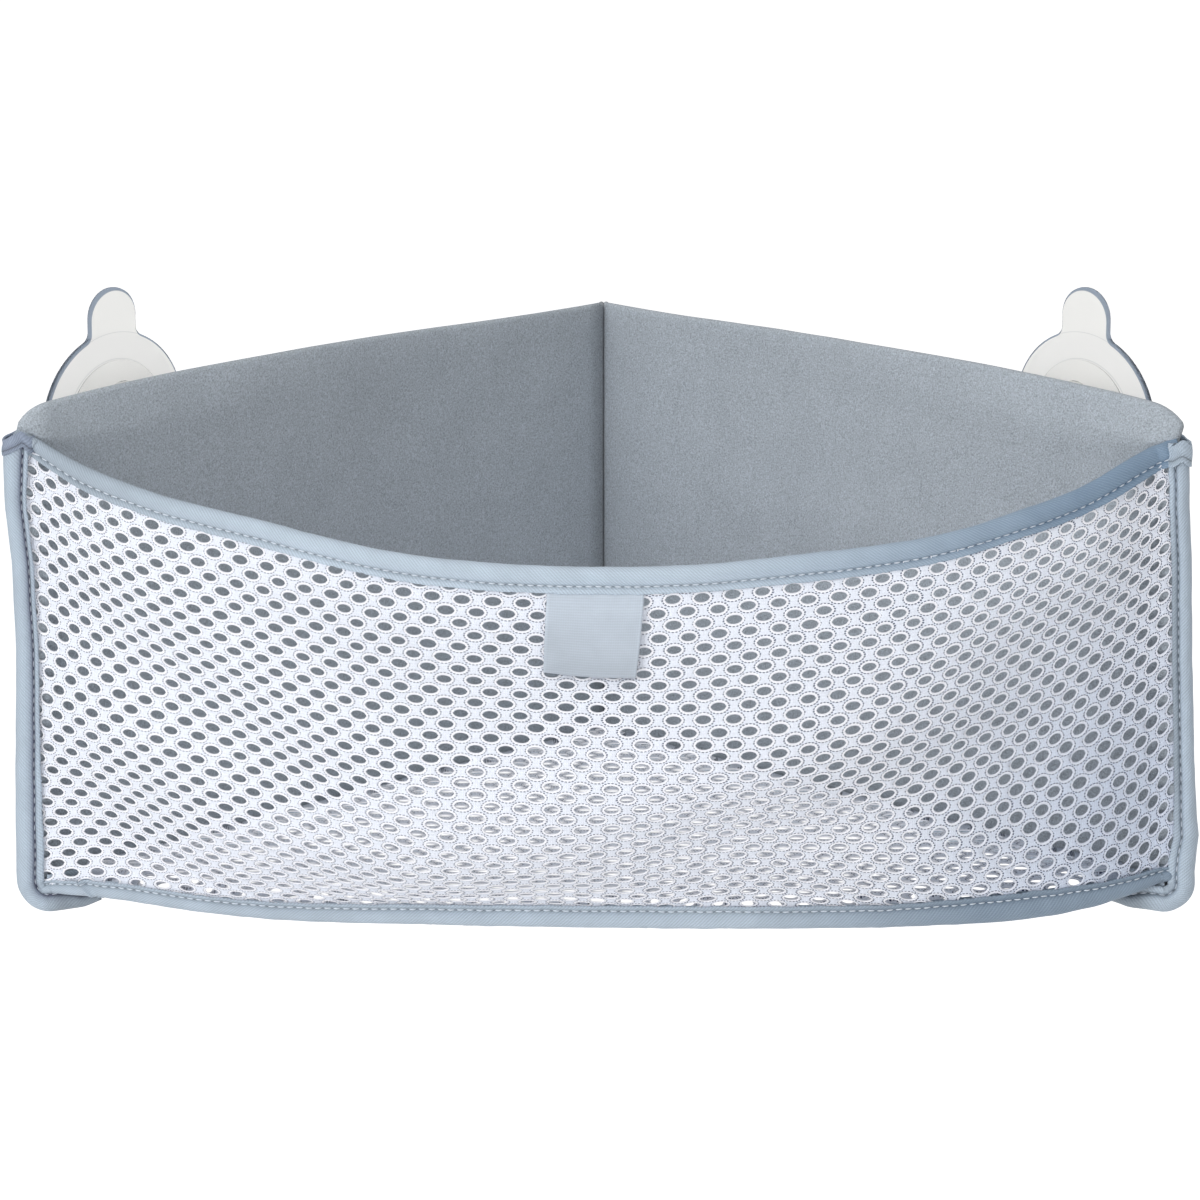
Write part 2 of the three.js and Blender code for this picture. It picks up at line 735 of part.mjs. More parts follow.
function hook() {
  const quarter = Math.PI / 2;
  const foot = flangeFront - flangeThickness / 2;
  // side view: an arm and an upright lip, in (off the wall, height)
  const profile = [
    new THREE.Vector2(foot, -hookArm),
    ...round(new THREE.Vector2(lipFront - hookRound, hookRound - hookArm), hookRound, -quarter, 0,
      bendSteps),
    new THREE.Vector2(lipFront, hookTop),
    new THREE.Vector2(lipBack, hookTop),
    new THREE.Vector2(lipBack, 0),
    new THREE.Vector2(foot, 0),
  ];
  const turn = new THREE.Matrix4().makeBasis(
    new THREE.Vector3(0, -1, 0), new THREE.Vector3(0, 0, 1), new THREE.Vector3(-1, 0, 0),
  );
  const arm = extruded(profile, -hookWidth / 2, hookWidth).applyMatrix4(turn);
  // front view: the lip has a round top
  const half = hookWidth / 2;
  const front = [
    new THREE.Vector2(-half, -hookArm - overrun),
    new THREE.Vector2(half, -hookArm - overrun),
    ...round(new THREE.Vector2(0, hookTop - half), half, 0, Math.PI, 2 * roundSegments),
  ];
  const rounded = solid(arm).intersect(solid(offWall(front, 0, panelStandOff)));
  const flange = solid(offWall(circle(flangeRadius), flangeBack, flangeThickness));
  return geometryOf(flange.add(rounded));
}

// Materials

function finish(color, roughness) {
  return new THREE.MeshStandardMaterial({ color, roughness, metalness: 0 });
}

const foamLaminate = finish(0xa3aeb5, 0.9);
const whiteNet = finish(0xf2f2f6, 0.75);
const greyTape = finish(0xaab9c6, 0.7);
const satinLabel = finish(0xc3ccd4, 0.45);
const webbing = finish(0x9aa6af, 0.8);
const clearPlate = finish(0xe3e3df, 0.3);
const clearHook = finish(0xdfe2e3, 0.25);
const clearGel = finish(0xc9d2d8, 0.4);

function piece(name, geometry, material) {
  const mesh = new THREE.Mesh(geometry, material);
  mesh.name = name;
  return mesh;
}

// Assembly

const organizer = new THREE.Group();

const rightPanel = backPanel();
const rightSide = sideBinding();
const rightBottom = bottomBindingBack();
organizer.add(
  piece('back_panel_right', rightPanel, foamLaminate),
  piece('back_panel_left', mirrored(rightPanel), foamLaminate),
  piece('corner_seam_binding', cornerSeamBinding(), greyTape),
  piece('front_net', frontNet(), whiteNet),
  piece('floor_net', floorNet(), whiteNet),
  piece('top_binding_front', topBinding(), greyTape),
  piece('side_binding_right', rightSide, greyTape),
  piece('side_binding_left', mirrored(rightSide), greyTape),
  piece('bottom_binding_front', bottomBindingFront(), greyTape),
  piece('bottom_binding_back_right', rightBottom, greyTape),
  piece('bottom_binding_back_left', mirrored(rightBottom), greyTape),
  piece('label_tag', labelTag(), satinLabel),
);

for (const [side, sign] of [['right', 1], ['left', -1]]) {
  // the wall's frame: local X runs along the wall and local -Y points into the room
  const wall = new THREE.Group();
  const reach = discDistance * Math.SQRT1_2;
  wall.position.set(sign * reach, -reach, 0);
  wall.rotation.z = -sign * cornerTurn;
  wall.add(
    piece(`adhesive_pad_${side}`, adhesivePad(), clearGel),
    piece(`mount_disc_${side}`, mountDisc(), clearPlate),
    piece(`pull_tab_${side}`, pullTab(), clearPlate),
    piece(`hook_${side}`, hook(), clearHook),
    piece(`hanging_loop_${side}`, hangingLoop(), webbing),
  );
  organizer.add(wall);
}

export default organizer;
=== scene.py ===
# %% [markdown]
# # A corner basket for bath toys
# The basket hangs in the corner of a bath. Two walls of soft foam laminate stand behind, a white
# knitted net bulges in front, and woven tape binds every edge. Two clear discs stick to the room's
# walls and carry the basket on hooks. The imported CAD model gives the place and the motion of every
# piece. This script makes the cloth, the stitches and the finishes around it.

# %% Load the frame
import math

import bpy
import numpy as np
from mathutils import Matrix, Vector


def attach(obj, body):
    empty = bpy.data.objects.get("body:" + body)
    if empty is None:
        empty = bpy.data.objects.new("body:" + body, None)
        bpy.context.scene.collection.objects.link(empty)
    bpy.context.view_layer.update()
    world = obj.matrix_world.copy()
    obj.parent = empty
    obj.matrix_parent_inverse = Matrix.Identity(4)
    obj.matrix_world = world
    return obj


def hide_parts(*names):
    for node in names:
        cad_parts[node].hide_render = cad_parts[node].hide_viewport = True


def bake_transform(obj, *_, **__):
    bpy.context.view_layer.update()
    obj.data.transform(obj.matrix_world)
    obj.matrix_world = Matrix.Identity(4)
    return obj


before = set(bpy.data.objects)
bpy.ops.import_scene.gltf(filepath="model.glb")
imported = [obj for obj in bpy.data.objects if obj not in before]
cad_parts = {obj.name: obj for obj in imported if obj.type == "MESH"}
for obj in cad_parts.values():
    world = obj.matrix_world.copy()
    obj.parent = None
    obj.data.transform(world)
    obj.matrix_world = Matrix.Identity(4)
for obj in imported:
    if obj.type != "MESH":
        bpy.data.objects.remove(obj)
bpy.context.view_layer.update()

# %% [markdown]
# The photograph looks a little down at the basket with a long lens. The distance, the tilt and the
# lens were fitted to the basket's edges. The shift only sets where the basket lies in the frame.

# %% The camera
PITCH = math.radians(12.22)
DISTANCE = 1.8  # metres to the target
TARGET = Vector((0, -0.2142, 0.0105))  # middle of the line through the front corners

camera = bpy.data.objects.new("camera", bpy.data.cameras.new("camera"))
bpy.context.scene.collection.objects.link(camera)
camera.location = TARGET + DISTANCE * Vector((0, -math.cos(PITCH), math.sin(PITCH)))
camera.rotation_euler = (math.pi / 2 - PITCH, 0, 0)
camera.data.lens = 159.3
camera.data.sensor_width = 36
camera.data.shift_x = 0.00083
camera.data.shift_y = -0.154
bpy.context.scene.camera = camera
bpy.context.scene.view_settings.view_transform = "Standard"
print("camera at", tuple(round(value, 4) for value in camera.location))

# %% [markdown]
# Shader nodes are clumsy to write one by one. A small class stands for a value that changes over a
# surface, and its plus, minus, times and divide each add one Math node. The lamps' and the floor's
# nodes use it first, and all the finishes below are written with it.

# %% Node arithmetic
MM = 0.001


class Field:
    """A value that changes over a surface: a node's output socket, with arithmetic."""

    def __init__(self, tree, socket):
        self.tree, self.socket = tree, socket

    def __add__(self, other):
        return calc("ADD", self, other)

    def __sub__(self, other):
        return calc("SUBTRACT", self, other)

    def __rsub__(self, other):
        return calc("SUBTRACT", other, self)

    def __mul__(self, other):
        return calc("MULTIPLY", self, other)

    def __truediv__(self, other):
        return calc("DIVIDE", self, other)


def feed(socket, value):
    """Links a field to a socket, or sets a plain number or colour on it."""
    if isinstance(value, Field):
        value.tree.links.new(value.socket, socket)
    else:
        socket.default_value = value


def calc(operation, *values):
    """A Math node. Each value is a number or a field."""
    tree = next(value.tree for value in values if isinstance(value, Field))
    node = tree.nodes.new("ShaderNodeMath")
    node.operation = operation
    for socket, value in zip(node.inputs, values):
        feed(socket, value)
    return Field(tree, node.outputs[0])


# %% [markdown]
# Studio light for cloth is broad and soft. An even white world gives most of it, a large lamp on
# the left brightens the right wall and the rims of the holes, and a lamp above marks the folds.
# The floor is pale and far below, so that its shadow stays out of the photograph's frame.

# %% Lights, world and floor
LAMPS = {  # place and target in metres, width in metres, watts
    "key_lamp": ((-1.25, -1.5, 0.55), (0, -0.18, -0.05), 0.9, 15.5),
    "top_lamp": ((0.2, -0.9, 1.9), (0, -0.12, -0.05), 1.2, 7),
    "low_lamp": ((0.2, -2.0, -0.8), (0, -0.24, -0.12), 0.9, 21),
}
WORLD_STRENGTH = 0.56
FLOOR_HEIGHT = -0.62
FLOOR_REACH = 30
FLOOR_GLOW = 0.6
WHITE = (1, 1, 1, 1)


def add_lamps():
    """Square area lamps, each turned from its place towards its target."""
    for name, (place, target, width, watts) in LAMPS.items():
        lamp = bpy.data.objects.new(name, bpy.data.lights.new(name, "AREA"))
        lamp.data.size = width
        lamp.data.energy = watts
        lamp.location = place
        lamp.rotation_euler = (Vector(target) - Vector(place)).to_track_quat("-Z", "Y").to_euler()
        bpy.context.scene.collection.objects.link(lamp)


def seen_by(tree, *rays):
    """One for the named kinds of light path, and nought for the others."""
    path = tree.nodes.new("ShaderNodeLightPath")
    level = Field(tree, path.outputs["Is " + rays[0] + " Ray"])
    for ray in rays[1:]:
        level = calc("MAXIMUM", level, Field(tree, path.outputs["Is " + ray + " Ray"]))
    return level


def add_world():
    """An even white sky, but plain white where the camera looks at it."""
    world = bpy.data.worlds.new("soft_white")
    world.use_nodes = True
    background = world.node_tree.nodes["Background"]
    seen = seen_by(world.node_tree, "Camera", "Transmission")
    feed(background.inputs["Strength"], seen * (1 - WORLD_STRENGTH) + WORLD_STRENGTH)
    feed(background.inputs["Color"], WHITE)
    bpy.context.scene.world = world


def add_floor():
    """A pale floor that the camera sees as white, with the basket's shadow kept on it."""
    mesh = bpy.data.meshes.new("floor")
    corners = [(-1, -1), (1, -1), (1, 1), (-1, 1)]
    mesh.from_pydata([(x * FLOOR_REACH, y * FLOOR_REACH, FLOOR_HEIGHT) for x, y in corners], [],
                     [(0, 1, 2, 3)])
    floor = bpy.data.objects.new("floor", mesh)
    bpy.context.scene.collection.objects.link(floor)
    material = bpy.data.materials.new("pale_floor")
    material.use_nodes = True
    inputs = material.node_tree.nodes["Principled BSDF"].inputs
    for name, value in (("Base Color", (0.9, 0.9, 0.9, 1)), ("Roughness", 1),
                        ("Specular IOR Level", 0), ("Emission Color", WHITE)):
        feed(inputs[name], value)
    seen = seen_by(material.node_tree, "Camera", "Glossy", "Transmission")
    feed(inputs["Emission Strength"], seen * FLOOR_GLOW)
    mesh.materials.append(material)


add_lamps()
add_world()
add_floor()
print("lamps:", len(LAMPS))

# %% [markdown]
# Every size below is in millimetres, as a maker would write it, and follows the CAD model. Only
# the mesh helper turns them into metres. A shape is a grid of points worked out as whole arrays.

# %% Sizes of the basket
PANEL_THICKNESS = 3.2
PANEL_TOP = 10.5
SEAM_THICKNESS = 1.8
PANEL_STAND_OFF = 9.35
PANEL_CROWN = 3.9
PANEL_BOW = 3
PANEL_END_ROUND = 11
PANEL_BOTTOM = -160.9
CORNER_BEND = 3
FRONT_BEND = 12
ALLOWANCE = 8
SIDE_END = 197.2  # panels and net end here, inside the side tapes
PANEL_END_Y = -204.83
HALF_WIDTH = 201
NET_EDGE = 188.5
NET_EDGE_Y = -207.23
FRONT_BULGE = 37
SCOOP_LOW = -36.1
SCOOP_RISE = 34.6
SEAM_BOTTOM = -162
SIDES = {"right": 1, "left": -1}

# %% Mesh helpers
random = np.random.default_rng(7)


def surface(name, points, faces, uv=None, ring_uv=None, smooth=True):
    """A mesh object from arrays: points in mm, and faces as one array for each kind of polygon."""
    mesh = bpy.data.meshes.new(name)
    corners = np.concatenate([rows.ravel() for rows in faces]).astype(np.int32)
    sizes = np.concatenate([np.full(len(rows), rows.shape[1]) for rows in faces])
    starts = np.concatenate([[0], np.cumsum(sizes)[:-1]]).astype(np.int32)
    mesh.vertices.add(len(points))
    places = np.asarray(points, np.float64) * MM
    mesh.vertices.foreach_set("co", places.astype(np.float32).ravel())
    mesh.loops.add(len(corners))
    mesh.loops.foreach_set("vertex_index", corners)
    mesh.polygons.add(len(sizes))
    mesh.polygons.foreach_set("loop_start", starts)
    for layer, values in (("cloth", uv), ("ring", ring_uv)):
        if values is not None:
            mesh.uv_layers.new(name=layer).data.foreach_set(
                "uv", np.asarray(values, np.float32).ravel())
    mesh.update(calc_edges=True)
    mesh.validate()
    mesh.polygons.foreach_set("use_smooth", np.full(len(mesh.polygons), smooth))
    piece = bpy.data.objects.new(name, mesh)
    bpy.context.scene.collection.objects.link(piece)
    return piece


def grid_faces(rows, columns, closed=False):
    """Quads of a grid of points kept row by row. A closed grid joins its last column to the
    first."""
    i = np.arange(rows - 1)[:, None]
    j = np.arange(columns if closed else columns - 1)[None, :]
    after = (j + 1) % columns
    return np.stack([i * columns + j, i * columns + after, (i + 1) * columns + after,
                     (i + 1) * columns + j], -1).reshape(-1, 4)


def grid_uv(rows, columns, along, across, closed=False):
    """The corners' places in the cloth, in mm: along is one value a row, across one a column."""
    j = np.arange(columns if closed else columns - 1)
    quads = [(0, 0), (0, 1), (1, 1), (1, 0)]
    u = np.stack([np.repeat(along[di:rows - 1 + di], len(j)) for di, _ in quads], -1)
    v = np.stack([np.tile(across[j + dj], rows - 1) for _, dj in quads], -1)
    return np.stack([u, v], -1).reshape(-1, 2)


def lengths(points):
    """Distance along a line of points, from its first point."""
    steps = np.linalg.norm(np.diff(points, axis=0), axis=1)
    return np.concatenate([[0], np.cumsum(steps)])


def resampled(points, count):
    """The same line with evenly spaced points."""
    at = lengths(points)
    even = np.linspace(0, at[-1], count)
    return np.stack([np.interp(even, at, points[:, k]) for k in range(points.shape[1])], 1)


def smoothed(points, rounds):
    """Each inner point moves towards the mean of its neighbours, the given number of times."""
    points = points.copy()
    for _ in range(rounds):
        points[1:-1] = (points[:-2] + 2 * points[1:-1] + points[2:]) / 4
    return points


def unit(vectors):
    """Vectors of length one."""
    return vectors / np.maximum(np.linalg.norm(vectors, axis=-1, keepdims=True), 1e-9)


def thicken(piece, thickness, offset=0):
    """Gives a cloth its real thickness: on both sides, or with an offset of -1 inwards only."""
    wall = piece.modifiers.new("thickness", "SOLIDIFY")
    wall.thickness = thickness * MM
    wall.offset = offset


def sheet_of(name, grid, along, across, thickness, sewn=None):
    """A cloth from its middle surface, a grid of points, with a real thickness on both sides.
    sewn is each point's distance from a row of stitches, where the cloth has one."""
    rows, columns = grid.shape[:2]
    faces = grid_faces(rows, columns)
    ring = None if sewn is None else np.repeat(sewn.reshape(-1, 1)[faces.ravel()], 2, axis=1)
    piece = surface(name, grid.reshape(-1, 3), [faces], grid_uv(rows, columns, along, across), ring)
    thicken(piece, thickness)
    return piece


def tube_of(name, rings, along=None, across=None, maps=None):
    """A closed skin through rings of points, with a fan of triangles over each end. The cloth map
    is along and across, or maps gives both maps' values for every point and the fans' centres."""
    rows, columns = rings.shape[:2]
    points = np.concatenate([rings.reshape(-1, 3), rings[[0, -1]].mean(1)])
    j = np.arange(columns)
    after, end = (j + 1) % columns, (rows - 1) * columns
    faces = [grid_faces(rows, columns, closed=True),
             np.stack([after, j, 0 * j + end + columns], -1),
             np.stack([end + j, end + after, 0 * j + end + columns + 1], -1)]
    if maps is not None:
        corners = np.concatenate([part.ravel() for part in faces])
        return surface(name, points, faces, *(values[corners] for values in maps))
    across = np.append(across, across[-1] + (across[1] - across[0]))
    uv = grid_uv(rows, columns, along, across, closed=True)
    return surface(name, points, faces, np.concatenate([uv, np.zeros((6 * columns, 2))]))


def bump_noise(seed, *scaled):
    """Smooth waves from minus one to one, as a mean of a few sines with fixed random phases."""
    dice = np.random.default_rng(seed)
    total = 0
    for _ in range(4):
        phase = dice.uniform(0, 2 * math.pi)
        turn = sum(axis * dice.uniform(-1, 1) for axis in scaled)
        total = total + np.sin(2 * math.pi * turn + phase)
    return total / 4


# %% [markdown]
# Stitches are what makes sewn tape read as sewn. A lockstitch shows as short threads that dip into
# the cloth at both ends. Each is a small six-sided capsule, and a row of them is one mesh.

# %% A row of stitches
STITCH_PITCH = 3.3
STITCH_LENGTH = 2.5
THREAD_RADIUS = 0.24


def stitch_row(name, line, away, pitch=STITCH_PITCH, length=STITCH_LENGTH, radius=THREAD_RADIUS,
               zigzag=0.0):
    """Capsules along a line of points, raised by a sine towards the directions in away.
    Each capsule has five rings of six points. Its radius follows the fourth root of one minus
    the squared share of its half length."""
    at = lengths(line)
    count = max(int(at[-1] // pitch), 1)
    share = np.linspace(-1, 1, 5)
    begin = (np.arange(count) + (1 - length / pitch) / 2) * pitch
    place = begin[:, None] + (share + 1) / 2 * length
    centre = np.stack([np.interp(place, at, line[:, k]) for k in range(3)], -1)
    normal = unit(np.stack([np.interp(place, at, away[:, k]) for k in range(3)], -1))
    tangent = unit(np.gradient(centre, axis=1))
    side = unit(np.cross(tangent, normal))
    swing = zigzag * (-1.0) ** np.arange(count)[:, None] * share
    lift = radius * (1.1 * np.cos(share * math.pi / 2) - 0.45)
    centre = centre + side * swing[..., None] + normal * lift[None, :, None]
    size = radius * (1 - 0.97 * share ** 2) ** 0.25
    turn = np.arange(6) / 6 * 2 * math.pi
    around = side[:, :, None] * np.cos(turn)[:, None] + normal[:, :, None] * np.sin(turn)[:, None]
    points = centre[:, :, None] + size[None, :, None, None] * around
    quads = grid_faces(5, 6, closed=True)
    base = (np.arange(count) * 30)[:, None, None]
    caps = np.array([[0, 1, 2, 3, 4, 5], [29, 28, 27, 26, 25, 24]])
    faces = [(quads[None, :, ::-1] + base).reshape(-1, 4), (caps[None] + base).reshape(-1, 6)]
    return surface(name, points.reshape(-1, 3), faces)


# %% [markdown]
# The real basket doesn't hang quite true. Measured on its edges, the right front corner leans out
# at the bottom, the left one at the top, and the lower tape droops to the right. The shapes are
# worked out symmetrical, and one smooth shift then moves all that is sewn to the front.

# %% How the basket has slumped
LEAN_Z = [-172, -162, -153, -140, -120, -74, -42, -24, -8, 0, 1.2, 2.6, 5, 11]
LEAN_RIGHT = [7.0, 6.4, 5.7, 6.7, 5.0, 3.0, 2.1, 1.0, 0.5, 0.4, 0.7, 3.2, 3.5, 2.4]
LEAN_LEFT = [1.0, 1.1, 1.2, 1.1, 0.8, -0.5, 0.2, 2.0, 2.4, 2.1, 2.1, 2.3, 2.3, 1.8]
LOW_X = [-194, -189, -181, -171, -158, -144, -120, -91, -67, 0, 68, 103, 145, 161, 175, 186, 194]
LOW_SHIFT = [0.6, 1.2, 2.2, 3.0, 2.8, 2.0, 1.2, 1.1, 1.5, 0.6, -0.2, -1.0, -2.0, -0.7, 1.5, 4.6,
             7.2]
HIGH_X = [-193, -183, -174, -165, -155, -142, -115, -87, -66, 0, 34, 67, 93, 116, 136, 149, 157,
          165, 173, 181, 194]
HIGH_SHIFT = [3.2, 0.6, 0.2, 0.5, 0.0, 1.0, 3.0, 1.9, 1.1, 1.2, 0.7, 0.9, -1.0, -2.8, -2.9, -2.4,
              -3.5, -3.2, -1.4, 0.3, -0.4]
CORNER_SHIFT = 1.8


def eased(share):
    """Share from nothing to one with soft ends."""
    share = np.clip(share, 0, 1)
    return share * share * (3 - 2 * share)


def smooth_table(x, xs, values):
    """A table read with soft steps, as the mean of a few shifted readings."""
    return np.mean([np.interp(x + shift, xs, values) for shift in (-9, -4.5, 0, 4.5, 9)], axis=0)


def slumped(points, front=True):
    """Points moved from the true shape to where they hang. Sideways, the lean grows towards each
    front corner, and the back corner shifts as a whole. Upwards, only the front pieces move, by
    one table below and another above."""
    points = np.array(points, dtype=float)
    x, y, z = points[..., 0], points[..., 1], points[..., 2]
    near = eased((np.abs(x) - 120) / 75) * eased((-150 - y) / 45)
    lean = np.where(x > 0, np.interp(z, LEAN_Z, LEAN_RIGHT), -np.interp(z, LEAN_Z, LEAN_LEFT))
    if front:
        low = eased((-105 - z) / 45)
        high = eased((z + 100) / 55)
        lift = smooth_table(x, LOW_X, LOW_SHIFT) * low + smooth_table(x, HIGH_X, HIGH_SHIFT) * high
        points[..., 2] = z + lift
    points[..., 0] = x + lean * near + CORNER_SHIFT * eased((y + 90) / 75)
    return points


# %% [markdown]
# Seen from above, a back panel starts in the corner seam, turns to run beside the room's wall,
# bows a little towards it, and turns again into the side binding. The plan is one line of points
# with the direction towards the room's wall, and all that is sewn to the panel reads it.

# %% The plan of a back panel


def panel_plan(count):
    """Middle line of the right panel in plan: allowance, bend, bowed wall, bend and end.
    The bow is a sine squared over the first 0.72 of the wall. Returns places and outward
    directions, both (count, 2)."""
    root = math.sqrt(2)
    seam_x = 0.02 + SEAM_THICKNESS / 2
    wall_sum = -(PANEL_STAND_OFF + PANEL_THICKNESS / 2) * root
    back = np.array([seam_x + CORNER_BEND, wall_sum - seam_x + CORNER_BEND * (root - 1)])
    turn = np.linspace(0, math.pi / 4, 9)[:, None]
    corner = back - CORNER_BEND * np.hstack([np.cos(turn), np.sin(turn)])
    end_y = PANEL_END_Y + FRONT_BEND * (1 - 1 / root)
    end = np.array([wall_sum - end_y, end_y])
    share = np.linspace(0, 1, 80)[:, None]
    bow = PANEL_BOW * np.sin(math.pi * np.minimum(share / 0.72, 1)) ** 2
    wall = corner[-1] * (1 - share) + end * share + bow / root
    heading = turn - math.pi / 4
    centre = end + FRONT_BEND / root
    front = centre + FRONT_BEND * np.hstack([np.sin(heading), -np.cos(heading)])
    line = np.vstack([[seam_x, back[1] + ALLOWANCE], corner, wall[1:], front[1:],
                      [SIDE_END, PANEL_END_Y]])
    line = resampled(line, count)
    tangent = unit(np.gradient(line, axis=0))
    return line, np.stack([-tangent[:, 1], tangent[:, 0]], 1)


def panel_top(x):
    """Top edge above the disc centres: a crown between the ends, a rounded front corner, and a
    dip over the seam allowances behind."""
    share = np.clip(x, 0, None) / HALF_WIDTH
    past = np.clip(x - (SIDE_END - PANEL_END_ROUND), 0, PANEL_END_ROUND)
    drop = PANEL_END_ROUND - np.sqrt(PANEL_END_ROUND ** 2 - past ** 2)
    dip = 1.5 * (1 - eased((x - 0.93) / 0.15))
    return PANEL_TOP + 0.6 + PANEL_CROWN * np.sin(math.pi * share ** 1.8) - drop - dip


PANEL_LENGTH = lengths(panel_plan(400)[0])[-1]
print("a back panel is cut", round(PANEL_LENGTH), "mm long")

# %% [markdown]
# The panels are foam with a brushed knit on both faces, cut with an unbound top edge. A plain
# extrusion would look like board. Here the section is a tall strip with a half-round top, and a
# slow wave of less than a millimetre moves the faces as the soft foam does.

# %% The back panels
PANEL_ROWS = 200
PANEL_LEVELS = 34
EDGE_STEPS = 7


def back_panel(name, side, seed):
    """Rings of the panel's section carried along its plan. The face moves by a slow wave, and the
    thickness eases to the seam's at the back corner and swells slightly under the top edge."""
    line, out = panel_plan(PANEL_ROWS)
    at = lengths(line)
    half = np.interp(at, [0, ALLOWANCE + 2, ALLOWANCE + 8], [SEAM_THICKNESS / 2] * 2
                     + [PANEL_THICKNESS / 2])
    top = panel_top(line[:, 0]) - half
    level = np.linspace(0, 1, PANEL_LEVELS)
    turn = np.linspace(0, math.pi, EDGE_STEPS + 2)[1:-1]
    across = np.concatenate([np.ones(PANEL_LEVELS), np.cos(turn), -np.ones(PANEL_LEVELS)])
    share = np.concatenate([level, np.ones(EDGE_STEPS), level[::-1]])
    extra = np.concatenate([np.zeros(PANEL_LEVELS), np.sin(turn), np.zeros(PANEL_LEVELS)])
    height = PANEL_BOTTOM + (top[:, None] - PANEL_BOTTOM) * share + half[:, None] * extra
    fade = np.clip((at - 16) / 30, 0, 1) * np.clip((at[-1] - 14 - at) / 30, 0, 1)
    wave = bump_noise(seed, at[:, None] / 70, height / 80) * 0.8
    wave += bump_noise(seed + 1, at[:, None] / 26, height / 30) * 0.22
    middle = wave * fade[:, None] * np.clip((height - PANEL_BOTTOM) / 20, 0, 1)
    rim = 1 + 0.08 * np.exp(-((top[:, None] - height) / 4) ** 2)
    reach = across * half[:, None] * rim + middle
    plan = line[:, None] + out[:, None] * reach[..., None]
    rings = np.concatenate([plan, height[..., None]], -1)
    rings[..., 0] *= side
    rings = slumped(rings, front=False)
    around = np.concatenate([height[0, :PANEL_LEVELS], 20 + np.arange(EDGE_STEPS),
                             height[0, :PANEL_LEVELS][::-1]])
    piece = tube_of("back_panel_cloth_" + name, rings[::side], at, around)
    print(piece.name, len(piece.data.polygons), "faces")
    return piece


panels = {name: back_panel(name, side, seed)
          for seed, (name, side) in zip((11, 23), SIDES.items())}

# %% [markdown]
# The net is slack knitted cloth. It hangs in its tapes, sags forward where toys would push it out,
# and gathers in soft folds, and its rows of holes wander with every fold. A formula would hang it
# too evenly. So the net is a smooth surface over measured control points: for places 24 by 17 mm
# apart in the flat cloth, where they hang. Sideways and upwards they follow the rows of holes on
# the photograph. Their depth is the one that keeps the holes as far apart as in the flat knit.

# %% The net's seams


def net_y(x):
    """Plan of the net's two edges: flat in the middle and steeper towards its sides."""
    share = np.minimum(np.abs(x) / NET_EDGE, 1)
    return NET_EDGE_Y - FRONT_BULGE * (1 - share ** 3)


def scoop(x):
    """Upper edge of the top tape, a parabola."""
    return SCOOP_LOW + SCOOP_RISE * (x / NET_EDGE) ** 2


# %% Control points of the hanging net
# In tenths of a millimetre, from evenly spaced places on a plain upright sheet. Each list goes up
# the net. NET_X is how far a point lies to the right of its place, NET_Y in front of it, and NET_Z
# above it.
KNOT = (24, 17)  # from one control point to the next in the flat cloth: along, up
KNOT_START = (-230, -4)
PLACE_STEP = (22, 17)  # from one place to the next on the sheet: sideways, up
PLACE_START = (-230, -200, -190)
NET_X = [
    [26, 26, 14, -31, -82, -97, -100, -118, -139, -135, -80, -3, 79, 160],
    [11, -11, -20, -25, -30, -27, -18, -2, 19, 34, 50, 70, 81, 86],
    [10, -3, -15, -33, -61, -96, -97, -65, -54, -53, -24, 28, 49, 12],
    [11, 13, -5, -22, -53, -99, -129, -92, -87, -103, -73, -15, 22, -69],
    [18, 16, -14, -38, -75, -107, -116, -89, -115, -123, -100, -37, -15, -148],
    [29, 14, -23, -58, -91, -106, -93, -94, -116, -109, -96, -43, -27, -166],
    [35, 11, -25, -58, -84, -89, -83, -104, -102, -106, -104, -54, -24, -124],
    [31, 2, -28, -61, -80, -89, -98, -103, -93, -110, -105, -58, -35, -81],
    [19, -9, -33, -58, -74, -86, -92, -93, -91, -112, -100, -54, -38, -56],
    [2, -19, -35, -51, -59, -68, -65, -68, -74, -82, -70, -45, -35, -42],
    [-15, -26, -34, -41, -43, -47, -48, -51, -50, -48, -43, -36, -32, -33],
    [-24, -29, -32, -32, -30, -28, -27, -28, -22, -18, -23, -28, -26, -27],
    [-24, -28, -30, -31, -27, -16, -6, 0, -2, 6, -2, -15, -19, -25],
    [-16, -22, -24, -22, -20, -9, 12, 24, 20, 27, 24, 6, -10, -27],
    [-5, -8, -13, -11, -6, 6, 29, 39, 38, 50, 51, 25, -5, -32],
    [13, 13, 9, 10, 13, 19, 36, 53, 57, 75, 67, 31, -4, -40],
    [37, 42, 37, 41, 34, 26, 39, 52, 53, 71, 65, 29, -10, -52],
    [54, 64, 61, 65, 32, 5, 27, 42, 31, 59, 63, 24, -22, -67],
    [56, 62, 60, 66, 40, 4, -1, 14, 20, 50, 40, -3, -44, -81],
    [47, 40, 38, 31, 26, 19, 5, 2, 12, 12, -15, -44, -72, -93],
    [36, 4, -27, -52, -62, -58, -51, -53, -64, -81, -92, -100, -99, -103],
    [28, 23, 21, 13, 6, -5, -21, -25, -12, -16, -46, -79, -100, -120],
    [23, 46, 65, 72, 65, 46, 27, 23, 30, 26, -3, -48, -95, -139],
]
